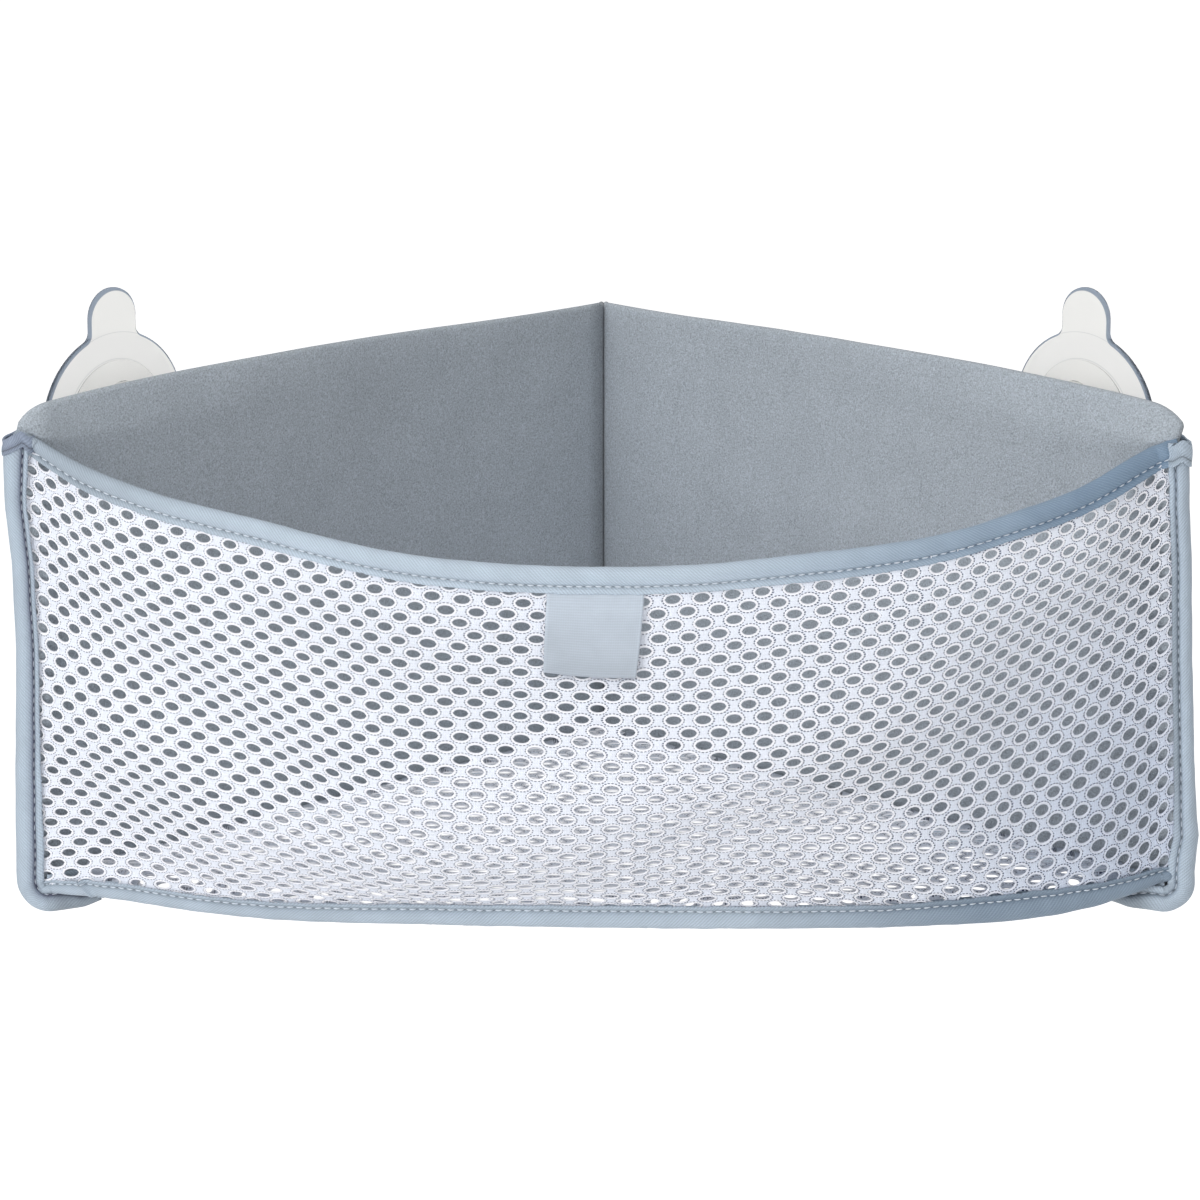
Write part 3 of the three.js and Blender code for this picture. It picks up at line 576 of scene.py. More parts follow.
NET_Y = [
    [181, 232, 235, 115, -98, -312, -386, -287, -126, 41, 266, 332, 206, 62],
    [117, 45, 53, 78, 112, 151, 157, 137, 117, 94, 51, 11, 31, 75],
    [105, 76, 70, 56, 33, 10, 10, 20, 32, 41, 66, 122, 119, 105],
    [79, 237, 202, 188, 212, 208, 195, 206, 202, 207, 200, 188, 246, 144],
    [91, 328, 252, 296, 331, 357, 355, 319, 312, 332, 271, 263, 302, 167],
    [167, 387, 325, 370, 453, 471, 444, 419, 432, 422, 338, 331, 356, 224],
    [276, 422, 362, 438, 529, 557, 533, 531, 520, 475, 382, 375, 407, 314],
    [406, 425, 414, 416, 563, 614, 622, 635, 581, 515, 411, 410, 427, 382],
    [494, 419, 446, 410, 547, 666, 686, 684, 609, 528, 423, 434, 433, 417],
    [481, 437, 443, 434, 586, 694, 725, 689, 609, 530, 433, 443, 438, 430],
    [466, 442, 441, 445, 590, 696, 745, 701, 614, 530, 434, 446, 439, 431],
    [482, 432, 452, 422, 570, 671, 748, 727, 624, 539, 434, 446, 438, 425],
    [446, 438, 446, 428, 573, 635, 738, 740, 632, 541, 429, 448, 430, 416],
    [416, 441, 431, 431, 550, 600, 695, 717, 623, 531, 420, 441, 420, 413],
    [475, 408, 429, 396, 518, 555, 617, 652, 592, 514, 404, 420, 415, 418],
    [454, 367, 410, 358, 456, 507, 511, 553, 535, 480, 376, 380, 406, 419],
    [284, 255, 364, 315, 376, 441, 415, 438, 434, 414, 334, 331, 372, 396],
    [125, 149, 285, 241, 301, 328, 304, 305, 305, 310, 262, 264, 311, 337],
    [57, 117, 202, 174, 220, 236, 222, 210, 208, 215, 191, 192, 238, 247],
    [49, 69, 66, 71, 79, 84, 90, 80, 65, 64, 77, 100, 106, 147],
    [46, 75, 66, 54, 42, 35, 31, 42, 59, 61, 45, 31, 40, 95],
    [19, 73, 126, 192, 246, 283, 288, 245, 180, 171, 233, 248, 172, 112],
    [-19, 88, 207, 333, 441, 504, 501, 439, 369, 354, 385, 382, 299, 172],
]
NET_Z = [
    [-38, 23, 46, -32, -130, -167, -161, -154, -145, -125, -99, -56, 41, 138],
    [-59, -87, -80, -66, -43, 1, 48, 94, 140, 172, 170, 145, 106, 80],
    [-41, -44, -42, -54, -79, -82, -57, -15, 24, 43, 44, 42, 45, 22],
    [-8, 33, 14, 3, -18, -48, -70, -36, -16, -27, -41, -45, -28, -51],
    [47, 75, 10, -19, -41, -63, -77, -54, -76, -97, -110, -99, -88, -126],
    [119, 107, 10, -53, -68, -88, -85, -91, -126, -128, -137, -136, -131, -177],
    [184, 133, 25, -46, -91, -103, -108, -143, -152, -166, -193, -183, -171, -205],
    [244, 138, 19, -100, -148, -150, -168, -186, -186, -215, -233, -217, -211, -230],
    [276, 129, 7, -137, -199, -197, -202, -206, -221, -245, -257, -242, -241, -252],
    [259, 124, 6, -117, -180, -220, -205, -210, -231, -265, -289, -268, -261, -266],
    [229, 109, 3, -103, -172, -218, -208, -219, -244, -277, -297, -273, -268, -266],
    [203, 80, -21, -135, -167, -201, -220, -230, -249, -279, -294, -266, -251, -251],
    [153, 58, -31, -120, -130, -171, -209, -238, -239, -267, -275, -243, -238, -232],
    [97, 41, -27, -101, -131, -160, -205, -239, -225, -238, -251, -224, -217, -206],
    [66, -1, -47, -123, -159, -172, -201, -211, -205, -217, -233, -207, -190, -173],
    [16, -57, -101, -172, -197, -173, -175, -187, -190, -194, -200, -180, -157, -135],
    [-72, -134, -158, -224, -222, -159, -136, -143, -147, -152, -164, -146, -119, -93],
    [-149, -186, -187, -228, -192, -137, -115, -97, -90, -101, -112, -99, -75, -51],
    [-187, -185, -169, -179, -144, -98, -68, -40, -22, -36, -43, -35, -22, -8],
    [-192, -163, -142, -116, -83, -42, -1, 33, 54, 44, 32, 31, 35, 34],
    [-189, -114, -49, 2, 44, 79, 103, 130, 159, 169, 158, 137, 103, 72],
    [-190, -150, -120, -78, -32, 16, 60, 87, 88, 74, 67, 77, 97, 108],
    [-198, -191, -179, -149, -101, -46, 1, 20, 11, -6, -4, 27, 80, 139],
]

# %% The hanging cloth of the net
CLOTH_STEP = 1.0
ROW_PITCH = 3.95  # from a row of holes to the next, in the flat cloth
HOLE_PITCH = 10.0
CLOTH_U = np.arange(-227, 228, CLOTH_STEP)
CLOTH_V = np.arange(0, 174, CLOTH_STEP)


def spline_weights(places, start, knot, count):
    """How much each of count control points gives to each place: the cubic B-spline's four weights
    at the place's share of its span, and nothing from the others."""
    span = (places - start) / knot
    first = np.clip(np.floor(span).astype(int), 0, count - 4)
    t = span - first
    taps = np.stack([(1 - t) ** 3, 3 * t ** 3 - 6 * t ** 2 + 4,
                     -3 * t ** 3 + 3 * t ** 2 + 3 * t + 1, t ** 3], 1) / 6
    weights = np.zeros((len(places), count))
    np.put_along_axis(weights, first[:, None] + np.arange(4), taps, axis=1)
    return weights


def hanging_table():
    """The control points' surface at an even grid in the flat cloth."""
    x, y, z = (np.array(table) / 10 for table in (NET_X, NET_Y, NET_Z))
    i, j = np.indices(x.shape)
    control = np.stack([PLACE_STEP[0] * i + PLACE_START[0] + x, PLACE_START[1] - y,
                        PLACE_STEP[1] * j + PLACE_START[2] + z], -1)
    along = spline_weights(CLOTH_U, KNOT_START[0], KNOT[0], control.shape[0])
    up = spline_weights(CLOTH_V, KNOT_START[1], KNOT[1], control.shape[1])
    return np.einsum("ui,ijk,vj->uvk", along, control, up)


CLOTH_PLACE = hanging_table()
CLOTH_NORMAL = unit(np.cross(np.gradient(CLOTH_PLACE, axis=0), np.gradient(CLOTH_PLACE, axis=1)))


def looked_up(table, u, v):
    """Values of a table over the flat cloth between its grid points, by the four nearest."""
    i = np.clip((u - CLOTH_U[0]) / CLOTH_STEP, 0, len(CLOTH_U) - 1.001)
    j = np.clip(v / CLOTH_STEP, 0, len(CLOTH_V) - 1.001)
    i0, j0 = i.astype(int), j.astype(int)
    a, b = (i - i0)[..., None], (j - j0)[..., None]
    return ((table[i0, j0] * (1 - a) + table[i0 + 1, j0] * a) * (1 - b)
            + (table[i0, j0 + 1] * (1 - a) + table[i0 + 1, j0 + 1] * a) * b)


print("the net hangs over", len(NET_X), "by", len(NET_X[0]), "control points")

# %% [markdown]
# Each hole of the net is an oval with a thick lip of yarn round it. The cells are six-sided, like
# the places in a honeycomb, so neighbours share their edges and the net is one closed skin. A cell
# has a ring of points in the hole's wall, one on the lip, one in the groove behind it, and the
# shared edge. The same small pattern of points is copied to every cell with arrays.

# %% The cells of a net
HOLE_HALF = np.array([2.62, 1.29])
NET_LIFT = {"wall": 0.0, "lip": 0.5, "groove": 0.14, "edge": 0.26, "back": -0.32}
RING_WIDTH = {"wall": 0.0, "lip": 0.4, "groove": 0.9}  # beyond the hole's edge


def cell_edge():
    """The fourteen points round a cell: six corners and two more on each slanted side."""
    half, row = HOLE_PITCH / 2, ROW_PITCH
    near = (half ** 2 - row ** 2) / (2 * half)
    far = (half ** 2 + row ** 2) / (2 * half)
    right, top = np.array([far, 0]), np.array([near, row])
    quarter = [right, right + (top - right) / 3, right + (top - right) * 2 / 3, top]
    points = quarter + [p * [-1, 1] for p in quarter[::-1]]
    points += [p * [-1, -1] for p in quarter[1:]] + [p * [1, -1] for p in quarter[:0:-1]]
    return np.array(points)


def net_cells(centres, place_of, snap=None):
    """Points, faces and corner values of a net with one hole at each centre in the flat cloth.
    place_of turns flat places and a lift from the cloth's middle into hanging places."""
    edge = cell_edge()
    count, sides = len(centres), len(edge)
    angle = np.arctan2(edge[:, 1] / HOLE_HALF[1], edge[:, 0] / HOLE_HALF[0])
    round_ring = np.stack([np.cos(angle), np.sin(angle)], 1)
    size = 1 + 0.05 * random.standard_normal((count, 1, 1)).clip(-1.6, 1.6)
    pulled = eased((centres[:, 0] - 40) / 90) * eased((130 - centres[:, 1]) / 60)
    size = size * (1 + pulled[:, None, None] * [0.02, 0.16])
    drift = 0.1 * random.standard_normal((count, 1, 2)).clip(-1.6, 1.6)
    rings = {key: centres[:, None] + drift + round_ring * (HOLE_HALF * size + width)
             for key, width in RING_WIDTH.items()}
    corners = centres[:, None] + edge
    keys = np.round(corners.reshape(-1, 2) * 20).astype(np.int64)
    _, first, shared = np.unique(keys[:, 0] * 1000003 + keys[:, 1], return_index=True,
                                 return_inverse=True)
    flat_edge = corners.reshape(-1, 2)[first]
    shared = shared.reshape(count, sides)
    after = np.roll(shared, -1, axis=1)
    pairs = np.stack([shared, after], -1).reshape(-1, 2)
    code = pairs.min(1) * len(first) + pairs.max(1)
    _, where, uses = np.unique(code, return_inverse=True, return_counts=True)
    open_pairs = pairs[uses[where] == 1]
    if snap is not None:
        rim = np.unique(open_pairs)
        flat_edge[rim] = snap(flat_edge[rim])
        rings = {key: snap(ring.reshape(-1, 2), inside_only=True).reshape(ring.shape)
                 for key, ring in rings.items()}
    layers = [(flat_edge, NET_LIFT["edge"]), (flat_edge, NET_LIFT["back"])]
    layers += [(rings[key].reshape(-1, 2), NET_LIFT[key]) for key in RING_WIDTH]
    points = np.concatenate([place_of(flat, lift) for flat, lift in layers])
    base = np.cumsum([0] + [len(flat) for flat, _ in layers])
    own = np.arange(count * sides).reshape(count, sides)
    index = {"edge": shared, "back": base[1] + shared, "wall": base[2] + own,
             "lip": base[3] + own, "groove": base[4] + own}
    scale = np.linalg.norm(edge / HOLE_HALF, axis=1)
    ring_place = {key: np.broadcast_to(round_ring * (1 + width / HOLE_HALF), (count, sides, 2))
                  for key, width in RING_WIDTH.items()}
    ring_place["edge"] = ring_place["back"] = np.broadcast_to(
        round_ring * scale[:, None], (count, sides, 2))
    faces, ring_uv = [], []
    for inner, outer in (("wall", "lip"), ("lip", "groove"), ("groove", "edge"), ("back", "wall")):
        a, b = index[inner], index[outer]
        faces.append(np.stack([a, b, np.roll(b, -1, 1), np.roll(a, -1, 1)], -1).reshape(-1, 4))
        p, q = ring_place[inner], ring_place[outer]
        ring_uv.append(np.stack([p, q, np.roll(q, -1, 1), np.roll(p, -1, 1)], -2).reshape(-1, 2))
    a, b = open_pairs.T
    faces.append(np.stack([a, base[1] + a, base[1] + b, b], -1))
    ring_uv.append(np.full((4 * len(open_pairs), 2), 2.0))
    flat_all = np.concatenate([flat for flat, _ in layers])
    cloth_uv = flat_all[np.concatenate([rows.ravel() for rows in faces])]
    return points, faces, cloth_uv, np.concatenate(ring_uv)


# %% The front net
SEAM_X = np.linspace(-230, 230, 461)
NET_LOW = slumped(np.stack([SEAM_X, net_y(SEAM_X), 0 * SEAM_X + SEAM_BOTTOM + 1.4], 1))
NET_HIGH = slumped(np.stack([SEAM_X, net_y(SEAM_X), scoop(SEAM_X) - 1.2], 1))


def net_limits(place):
    """Lowest and highest height, and furthest left and right, that the seams leave to the net."""
    x, z = place[..., 0], place[..., 2]
    reach = SIDE_END - 0.6
    return (np.interp(x, NET_LOW[:, 0], NET_LOW[:, 2]),
            np.interp(x, NET_HIGH[:, 0], NET_HIGH[:, 2]),
            -reach - np.interp(z, LEAN_Z, LEAN_LEFT), reach + np.interp(z, LEAN_Z, LEAN_RIGHT))


def front_centres():
    """Places of the holes in the flat cloth: staggered rows, kept where they hang within the
    seams or half under the tapes."""
    rows = np.arange(0, 45)[:, None]
    u = (np.arange(-22, 23)[None] + 0.5 * ((rows + 1) % 2)) * HOLE_PITCH
    centres = np.stack(np.broadcast_arrays(u, rows * ROW_PITCH), -1).reshape(-1, 2)
    u, v = centres.T
    centres = centres[(np.abs(u) < CLOTH_U[-1] - 6) & (v > 4) & (v < CLOTH_V[-1] - 5)]
    place = looked_up(CLOTH_PLACE, centres[:, 0], centres[:, 1])
    low, high, left, right = net_limits(place)
    x, z = place[:, 0], place[:, 2]
    return centres[(z > low - 0.8) & (z < high + 0.8) & (x > left - 1.5) & (x < right + 1.5)]


def hung(flat, lift):
    """Hanging place of flat points, lifted towards the outside and held within the seams."""
    place = looked_up(CLOTH_PLACE, flat[:, 0], flat[:, 1])
    low, high, left, right = net_limits(place)
    place[:, 2] = np.clip(place[:, 2], low, high)
    place[:, 0] = np.clip(place[:, 0], left, right)
    return place + lift * unit(looked_up(CLOTH_NORMAL, flat[:, 0], flat[:, 1]))


net_centres = front_centres()
front_net = surface("front_net_cloth", *net_cells(net_centres, hung))
print("front net:", len(net_centres), "holes,", len(front_net.data.polygons), "faces")

# %% [markdown]
# All the tape is woven polyester folded over an edge and sewn through. One function carries a
# folded profile along the edge: a full fold, a dip where the stitches pull it in, and a lip below.
# A slow swelling and small dips at each stitch keep it from looking like moulded plastic.

# %% Folded tape
TAPE = 0.8
TAPE_POINTS = 56


def rounded(points, rounds=2):
    """Corners cut off a line: each step keeps points at a quarter and three quarters."""
    for _ in range(rounds):
        a, b = points[:-1], points[1:]
        middle = np.stack([0.75 * a + 0.25 * b, 0.25 * a + 0.75 * b], 1)
        points = np.vstack([points[:1], middle.reshape(-1, points.shape[1]), points[-1:]])
    return points


def tape_shape(line, out, towards, front, back, seed, swell, stitch):
    """The tape's outer face as a grid. Profiles are (depth from the fold, distance out) from the
    lip to the fold. Distances out swell by slow waves, and dip by a bell curve at the stitches. The
    lip frays by quick waves in its depth. Also gives the distance along and the stitch column."""
    outer = np.vstack([front, (np.asarray(back) * [1, -1])[-2::-1]])
    outer = resampled(rounded(outer), TAPE_POINTS)
    half = TAPE_POINTS // 2 - 2
    column = np.interp(-stitch, -outer[:half, 0], np.arange(half))
    at = lengths(line)
    inward = unit(np.cross(np.gradient(line, axis=0), out))
    inward *= np.sign((inward * towards).sum(-1, keepdims=True))
    depth, reach = outer[:, 0][None], outer[:, 1][None]
    reach = reach * (1 + swell * bump_noise(seed, at[:, None] / 26, depth / 12))
    reach = reach + 0.16 * bump_noise(seed + 1, at[:, None] / 7, (depth + reach) / 9)
    holes = 0.5 - 0.5 * np.cos(2 * math.pi * at[:, None] / STITCH_PITCH)
    reach = reach - np.sign(reach) * 0.25 * holes * np.exp(-((depth - stitch) / 0.8) ** 2)
    depth = depth + 0.18 * bump_noise(seed + 2, at[:, None] / 11, np.sign(reach) / 3)
    fray = bump_noise(seed + 3, at[:, None] / 1.6, reach) + bump_noise(seed + 4, at[:, None] / 5)
    depth = depth + 0.2 * fray * np.exp(-((depth - depth[:, :1]) / 0.7) ** 2) * (reach > 0)
    grid = line[:, None] + out[:, None] * reach[..., None] + inward[:, None] * depth[..., None]
    return grid, at, column


def between(grid, column):
    """The line of points at a column that may lie between two of the grid's."""
    low = int(column)
    return grid[:, low] * (1 - column + low) + grid[:, low + 1] * (column - low)


def sewn_tape(name, line, out, towards, front, back, seed, stitch, settle, swell=0.16):
    """A folded tape with its row of stitches: [tape, stitches]. settle moves the finished grid to
    where it hangs. The second map gives the distance from the stitches, for the finish."""
    grid, at, column = tape_shape(line, out, towards, front, back, seed, swell, stitch)
    grid = settle(grid)
    rows, columns = grid.shape[:2]
    across = lengths(grid[rows // 2])
    sewn = np.interp(column, np.arange(columns), across)
    row, near = rows // 2, columns // 5
    normal = np.cross(grid[row + 1, near] - grid[row, near], grid[row, near + 1] - grid[row, near])
    flip = slice(None, None, -1 if normal @ out[row] > 0 else 1)
    piece = surface(name, grid[:, flip].reshape(-1, 3), [grid_faces(rows, columns)],
                    grid_uv(rows, columns, at, across[flip]),
                    grid_uv(rows, columns, at, across[flip] - sewn))
    thicken(piece, TAPE, -1)
    at[-1] * MM
    print(name, round(at[-1]), "by", round(across[-1]), "mm")
    return [piece, stitch_row(name + "_stitches", between(grid, column), out)]


# %% The top and bottom tapes of the net
TOP_FRONT = [(10, 1.6), (9.2, 1.5), (8.1, 1.35), (7.5, 0.9), (7.1, 0.95), (6.5, 1.7), (4.8, 2.2),
             (2.6, 2.3), (1.0, 1.8), (0.15, 0.8), (0, 0)]
TOP_BACK = [(9.8, 1.3), (8.6, 1.2), (7.4, 0.9), (5.6, 1.3), (3.2, 1.6), (1.4, 1.4), (0.2, 0.7),
            (0, 0)]
LOW_FRONT = [(7.6, 1.6), (6.9, 1.4), (6.2, 1.0), (5.8, 1.0), (5.2, 1.8), (3.6, 2.6), (1.8, 2.5),
             (0.6, 1.6), (0, 0.4), (0, 0)]
LOW_BACK = [(7.6, 1.4), (6.4, 1.1), (4.6, 1.5), (2.6, 1.9), (1.0, 1.6), (0.1, 0.8), (0, 0)]
TOP_REACH = 196
TOP_WIDTH_X = [-190, -180, -170, -160, -145, -110, -67, 0, 34, 68, 100, 122, 136, 150, 163, 175,
               185, 194]
TOP_WIDTH = [0.63, 0.79, 0.85, 0.78, 0.82, 0.88, 0.93, 0.93, 0.9, 0.96, 0.92, 0.9, 0.88, 0.92, 0.88,
             1.0, 1.0, 0.75]
LOW_REACH = 195.5
LOW_WIDTH_X = [-194, -186, -172, -120, -60, 0, 100, 140, 158, 172, 184, 194]
LOW_WIDTH = [0.55, 0.62, 0.74, 0.78, 0.94, 1.02, 1.04, 1.3, 1.22, 0.98, 0.76, 0.6]


def front_line(x, z):
    """A line in front at the net's seams and its outward direction in plan. Past the net's edges
    it draws back, to pass behind the side tapes."""
    back = 1.7 * eased((np.abs(x) - NET_EDGE - 2.5) / 3)
    line = np.stack([x, net_y(x) + back, z], 1)
    slope = np.gradient(net_y(x), x)
    return line, unit(np.stack([slope, -np.ones(len(x)), np.zeros(len(x))], 1))


def settle_high(grid):
    """The top tape is folded narrower at its left end and wider near its right end."""
    wide = smooth_table(grid[:, :1, 0], TOP_WIDTH_X, TOP_WIDTH)
    edge = scoop(grid[..., 0])
    grid[..., 2] = edge + (grid[..., 2] - edge) * wide
    return slumped(grid)


TAPE_ROWS = 880
top_x = np.linspace(-TOP_REACH, TOP_REACH, TAPE_ROWS)
top_tape = sewn_tape("top_tape", *front_line(top_x, scoop(top_x)), (0, 0, -1), TOP_FRONT, TOP_BACK,
                     seed=41, stitch=7.3, settle=settle_high)


def settle_low(grid):
    """The low tape is folded wider on the right and narrows towards both ends. Near its left end
    it turns over in a slanting fold: a ridge along a slanted line, with a valley beside it."""
    slant = grid[..., 0] + 174 + 0.75 * (grid[..., 2] - SEAM_BOTTOM)
    fold = 1.3 * np.exp(-(slant / 0.8) ** 2) - 1.2 * np.exp(-((slant - 3) / 2) ** 2)
    wide = smooth_table(grid[:, :1, 0], LOW_WIDTH_X, LOW_WIDTH)
    grid[..., 1] -= fold * (grid[..., 1] < net_y(grid[..., 0]))
    grid[..., 2] = SEAM_BOTTOM + (grid[..., 2] - SEAM_BOTTOM) * wide
    return slumped(grid)


low_x = np.linspace(-LOW_REACH, LOW_REACH, TAPE_ROWS)
low_tape = sewn_tape("low_tape", *front_line(low_x, np.full(len(low_x), SEAM_BOTTOM)), (0, 0, 1),
                     LOW_FRONT, LOW_BACK, seed=53, stitch=6.0, settle=settle_low)

# %% [markdown]
# At each front corner a tape folds over the side seam, rolls round the lower corner and runs a
# little way inwards as a foot. Its outer part is a fat roll. Inside it the stitches sink in a deep
# line, and a flat lip with a frayed edge lies on the net. Its top end is capped by a short cuff.

# %% The side tapes
SIDE_MIDDLE_Y = -205.48
SIDE_TOP = -0.8
SIDE_SLANT = {"right": 0.3, "left": 3.0}
SIDE_FRONT = [(9.7, 3.3), (9.3, 3.75), (8.4, 3.9), (7.4, 3.75), (6.95, 3.2), (6.65, 2.6),
              (6.4, 2.7), (6.25, 3.8), (6.0, 4.6), (5.2, 5.0), (3.4, 5.1), (1.2, 3.9), (0.1, 1.6),
              (0, 0)]
SIDE_BACK = [(9.4, 3.2), (7.6, 2.9), (6.4, 2.5), (5.0, 3.3), (3.0, 3.3), (1.0, 2.4), (0.1, 1.0),
             (0, 0)]
NARROW_Z = [-158, -148, -140, -120, -60, -20, 0]
NARROW = {"right": [1, 1, 0.92, 0.78, 0.74, 0.74, 0.78],
          "left": [1, 1.04, 1.04, 1.02, 0.92, 0.9, 1.1]}
FOOT_Z = -167.7
FOOT_END = 172
FOOT_ROUND = 11.5
CUFF_HEIGHT = {"right": 7.6, "left": 5.4}
CUFF_CREASE = {"right": 0.9, "left": 0.35}
CUFF_ROWS, CUFF_COLUMNS = 24, 90
CUFF_STITCHES = 17  # the row that is sewn


def side_line():
    """Outer line of the right side tape in its own upright plane: down, round and inwards."""
    turn = np.linspace(0, math.pi / 2, 14)[1:-1]
    centre = np.array([HALF_WIDTH - FOOT_ROUND, FOOT_Z + FOOT_ROUND])
    arc = centre + FOOT_ROUND * np.stack([np.cos(turn), -np.sin(turn)], 1)
    flat = np.vstack([[HALF_WIDTH, SIDE_TOP], [HALF_WIDTH, centre[1]], arc, [centre[0], FOOT_Z],
                      [FOOT_END + 6, FOOT_Z + 1.6], [FOOT_END, FOOT_Z + 4.2]])
    flat = smoothed(resampled(flat, 700), 30)
    return np.stack([flat[:, 0], np.full(len(flat), SIDE_MIDDLE_Y), flat[:, 1]], 1)


def side_tape(name, side, seed):
    """The folded tape along one front corner. Its top end slants under the cuff, it is folded
    narrower above than below, and it narrows again to the foot's tip."""
    line = side_line()
    at = lengths(line)
    out = np.tile([0.0, -1.0, 0.0], (len(line), 1))
    across = 1 - 0.35 * eased((at - at[-1] + 14) / 14)
    shrink = 1 - 0.45 * eased((at - at[-1] + 13) / 13)

    def settle(grid):
        thin = np.stack([shrink, across, shrink], 1)[:, None]
        grid = line[:, None] + (grid - line[:, None]) * thin
        depth = HALF_WIDTH - grid[..., 0]
        lip = np.maximum(depth - 7, 0) * (0.4 if side < 0 else 0) * eased((grid[..., 2] + 150) / 60)
        depth = depth - lip
        grid[..., 0] = HALF_WIDTH - depth * np.interp(grid[..., 2], NARROW_Z, NARROW[name])
        grid[..., 2] += np.clip(depth / 9, 0, 1) * SIDE_SLANT[name] * np.exp(-at / 5)[:, None]
        grid[..., 0] *= side
        return slumped(grid, front=False)

    return sewn_tape("side_tape_" + name, line, out, (-1, 0, 0.8), SIDE_FRONT, SIDE_BACK, seed,
                     stitch=6.6, settle=settle, swell=0.12)


def cuff_rim(name, depth):
    """Height of a cuff's upper rim: on the left it slants up inwards, on the right it stands up in
    the middle."""
    if name == "left":
        return 0.5 + 3.6 * np.clip(depth / 6.5, 0, 1) - 2.4 * eased((depth - 6.2) / 3.2)
    return -1.4 + 2.4 * np.exp(-((depth - 3.4) / 2.2) ** 2)


def cuff(name, side, seed):
    """A short turned-in tape over the top end of a side tape: a flattened sleeve whose front
    follows the roll. Its faces are creased by smooth waves."""
    turn = np.linspace(0, 2 * math.pi, CUFF_COLUMNS)
    depth = 4.6 + 4.75 * np.sign(-np.cos(turn)) * np.abs(np.cos(turn)) ** 0.7
    depth = depth * (0.82 if side > 0 else 1.1)
    reach = 4.5 * np.sign(np.sin(turn)) * np.abs(np.sin(turn)) ** 0.6
    reach = reach + np.where(reach > 0, 1.1 * np.exp(-((depth - 3.4) / 2.6) ** 2), 0)
    down = np.linspace(0, 1, CUFF_ROWS)[:, None]
    height = CUFF_HEIGHT[name]
    z = cuff_rim(name, depth) - height * down
    lip = 1 - 0.2 * (1 - eased(down * 3))
    crease = CUFF_CREASE[name] * bump_noise(seed, depth / 5 + z / 6, z / 5)
    reach = reach * lip + crease * np.sign(reach) + 0.2
    z = z + CUFF_CREASE[name] * 0.8 * bump_noise(seed + 1, depth / 4, reach / 5) * (1 - down)
    x = HALF_WIDTH + (0.25 if side > 0 else -0.2) - depth
    x = x + 0.3 * bump_noise(seed + 2, z / 4, reach / 6)
    grid = slumped(np.stack([side * x, SIDE_MIDDLE_Y - reach, z], -1), front=False)
    grid = grid[:, ::-side]
    around, along = lengths(grid[8]), height * down[:, 0]
    ring = np.broadcast_to((0.72 - down) * height, (CUFF_ROWS, CUFF_COLUMNS))
    piece = sheet_of("cuff_" + name, grid, along, around, TAPE, ring)
    front = grid[CUFF_STITCHES, 47:88] if side < 0 else grid[CUFF_STITCHES, 2:43]
    out = np.tile([0.0, -1.0, 0.0], (len(front), 1))
    stitches = stitch_row("cuff_stitches_" + name, front + out * 0.4, out, pitch=2.0, length=1.7,
                          zigzag=0.0 if side < 0 else 0.7)
    return [piece, stitches]


side_tapes, cuffs = {}, {}
for seed, (name, side) in zip((61, 67), SIDES.items()):
    side_tapes[name] = side_tape(name, side, seed)
    cuffs[name] = cuff(name, side, seed + 3)

# %% [markdown]
# Behind, a tape closes the two panels' edges in the corner, and two more run along the bottom. In
# the photograph they are hidden, so they follow the front tapes in width and stitching.

# %% The hidden tapes behind
SEAM_FACE = [(8.8, 2.9), (7.6, 2.6), (6.6, 2.4), (5.2, 2.9), (2.8, 3.0), (1.0, 2.2), (0.1, 1.0),
             (0, 0)]
BACK_FACE = [(7.6, 3.3), (6.6, 3.0), (5.6, 2.8), (4.2, 3.3), (2.2, 3.0), (0.7, 1.9), (0, 0.6),
             (0, 0)]
SKIRT = 0.7  # how far inside the panel's middle the bottom tape's fold lies


def settle_behind(grid):
    """The tapes behind only shift sideways."""
    return slumped(grid, front=False)


def corner_tape():
    """Upright tape over the panels' edges where they meet behind the back corner."""
    z = np.linspace(4.6, PANEL_BOTTOM - 0.6, 360)
    line = np.stack([np.zeros(len(z)), np.full(len(z), -6.0), z], 1)
    out = np.tile([1.0, 0.0, 0.0], (len(z), 1))
    return sewn_tape("corner_tape", line, out, (0, -1, 0), SEAM_FACE, SEAM_FACE, seed=71,
                     stitch=6.6, settle=settle_behind, swell=0.05)


def back_tape(name, side, seed):
    """Tape along the bottom edge of one back panel, with the floor's edge sewn into it."""
    plan, outward = panel_plan(420)
    at = lengths(plan)
    keep = (at > 15) & (at < at[-1] - 6)
    plan, outward = plan[keep], outward[keep]
    inside = -np.column_stack([outward, np.zeros(len(plan))]) * [side, 1, 1]
    line = np.column_stack([plan * [side, 1], np.full(len(plan), SEAM_BOTTOM + 0.3)])
    return sewn_tape("back_tape_" + name, line + inside * SKIRT, inside, (0, 0, 1), BACK_FACE,
                     BACK_FACE, seed, stitch=5.6, settle=settle_behind, swell=0.05)


corner = corner_tape()
back_tapes = {name: back_tape(name, side, seed)
              for seed, (name, side) in zip((73, 79), SIDES.items())}

# %% [markdown]
# The floor is taken to be the same net as the front, because the rows of holes show no other cloth
# through them. Its cells are the same, and those at its rim are pulled to the outline.

# %% The floor net
FLOOR_Z = -153.6
FLOOR_END = 177
WALL_SUM = -(PANEL_STAND_OFF + PANEL_THICKNESS) * math.sqrt(2)  # x plus y on a panel's inner face


def floor_limits(x):
    """Front and back end of the floor at x."""
    return net_y(x) + 0.9, WALL_SUM - 0.5 - np.abs(x)


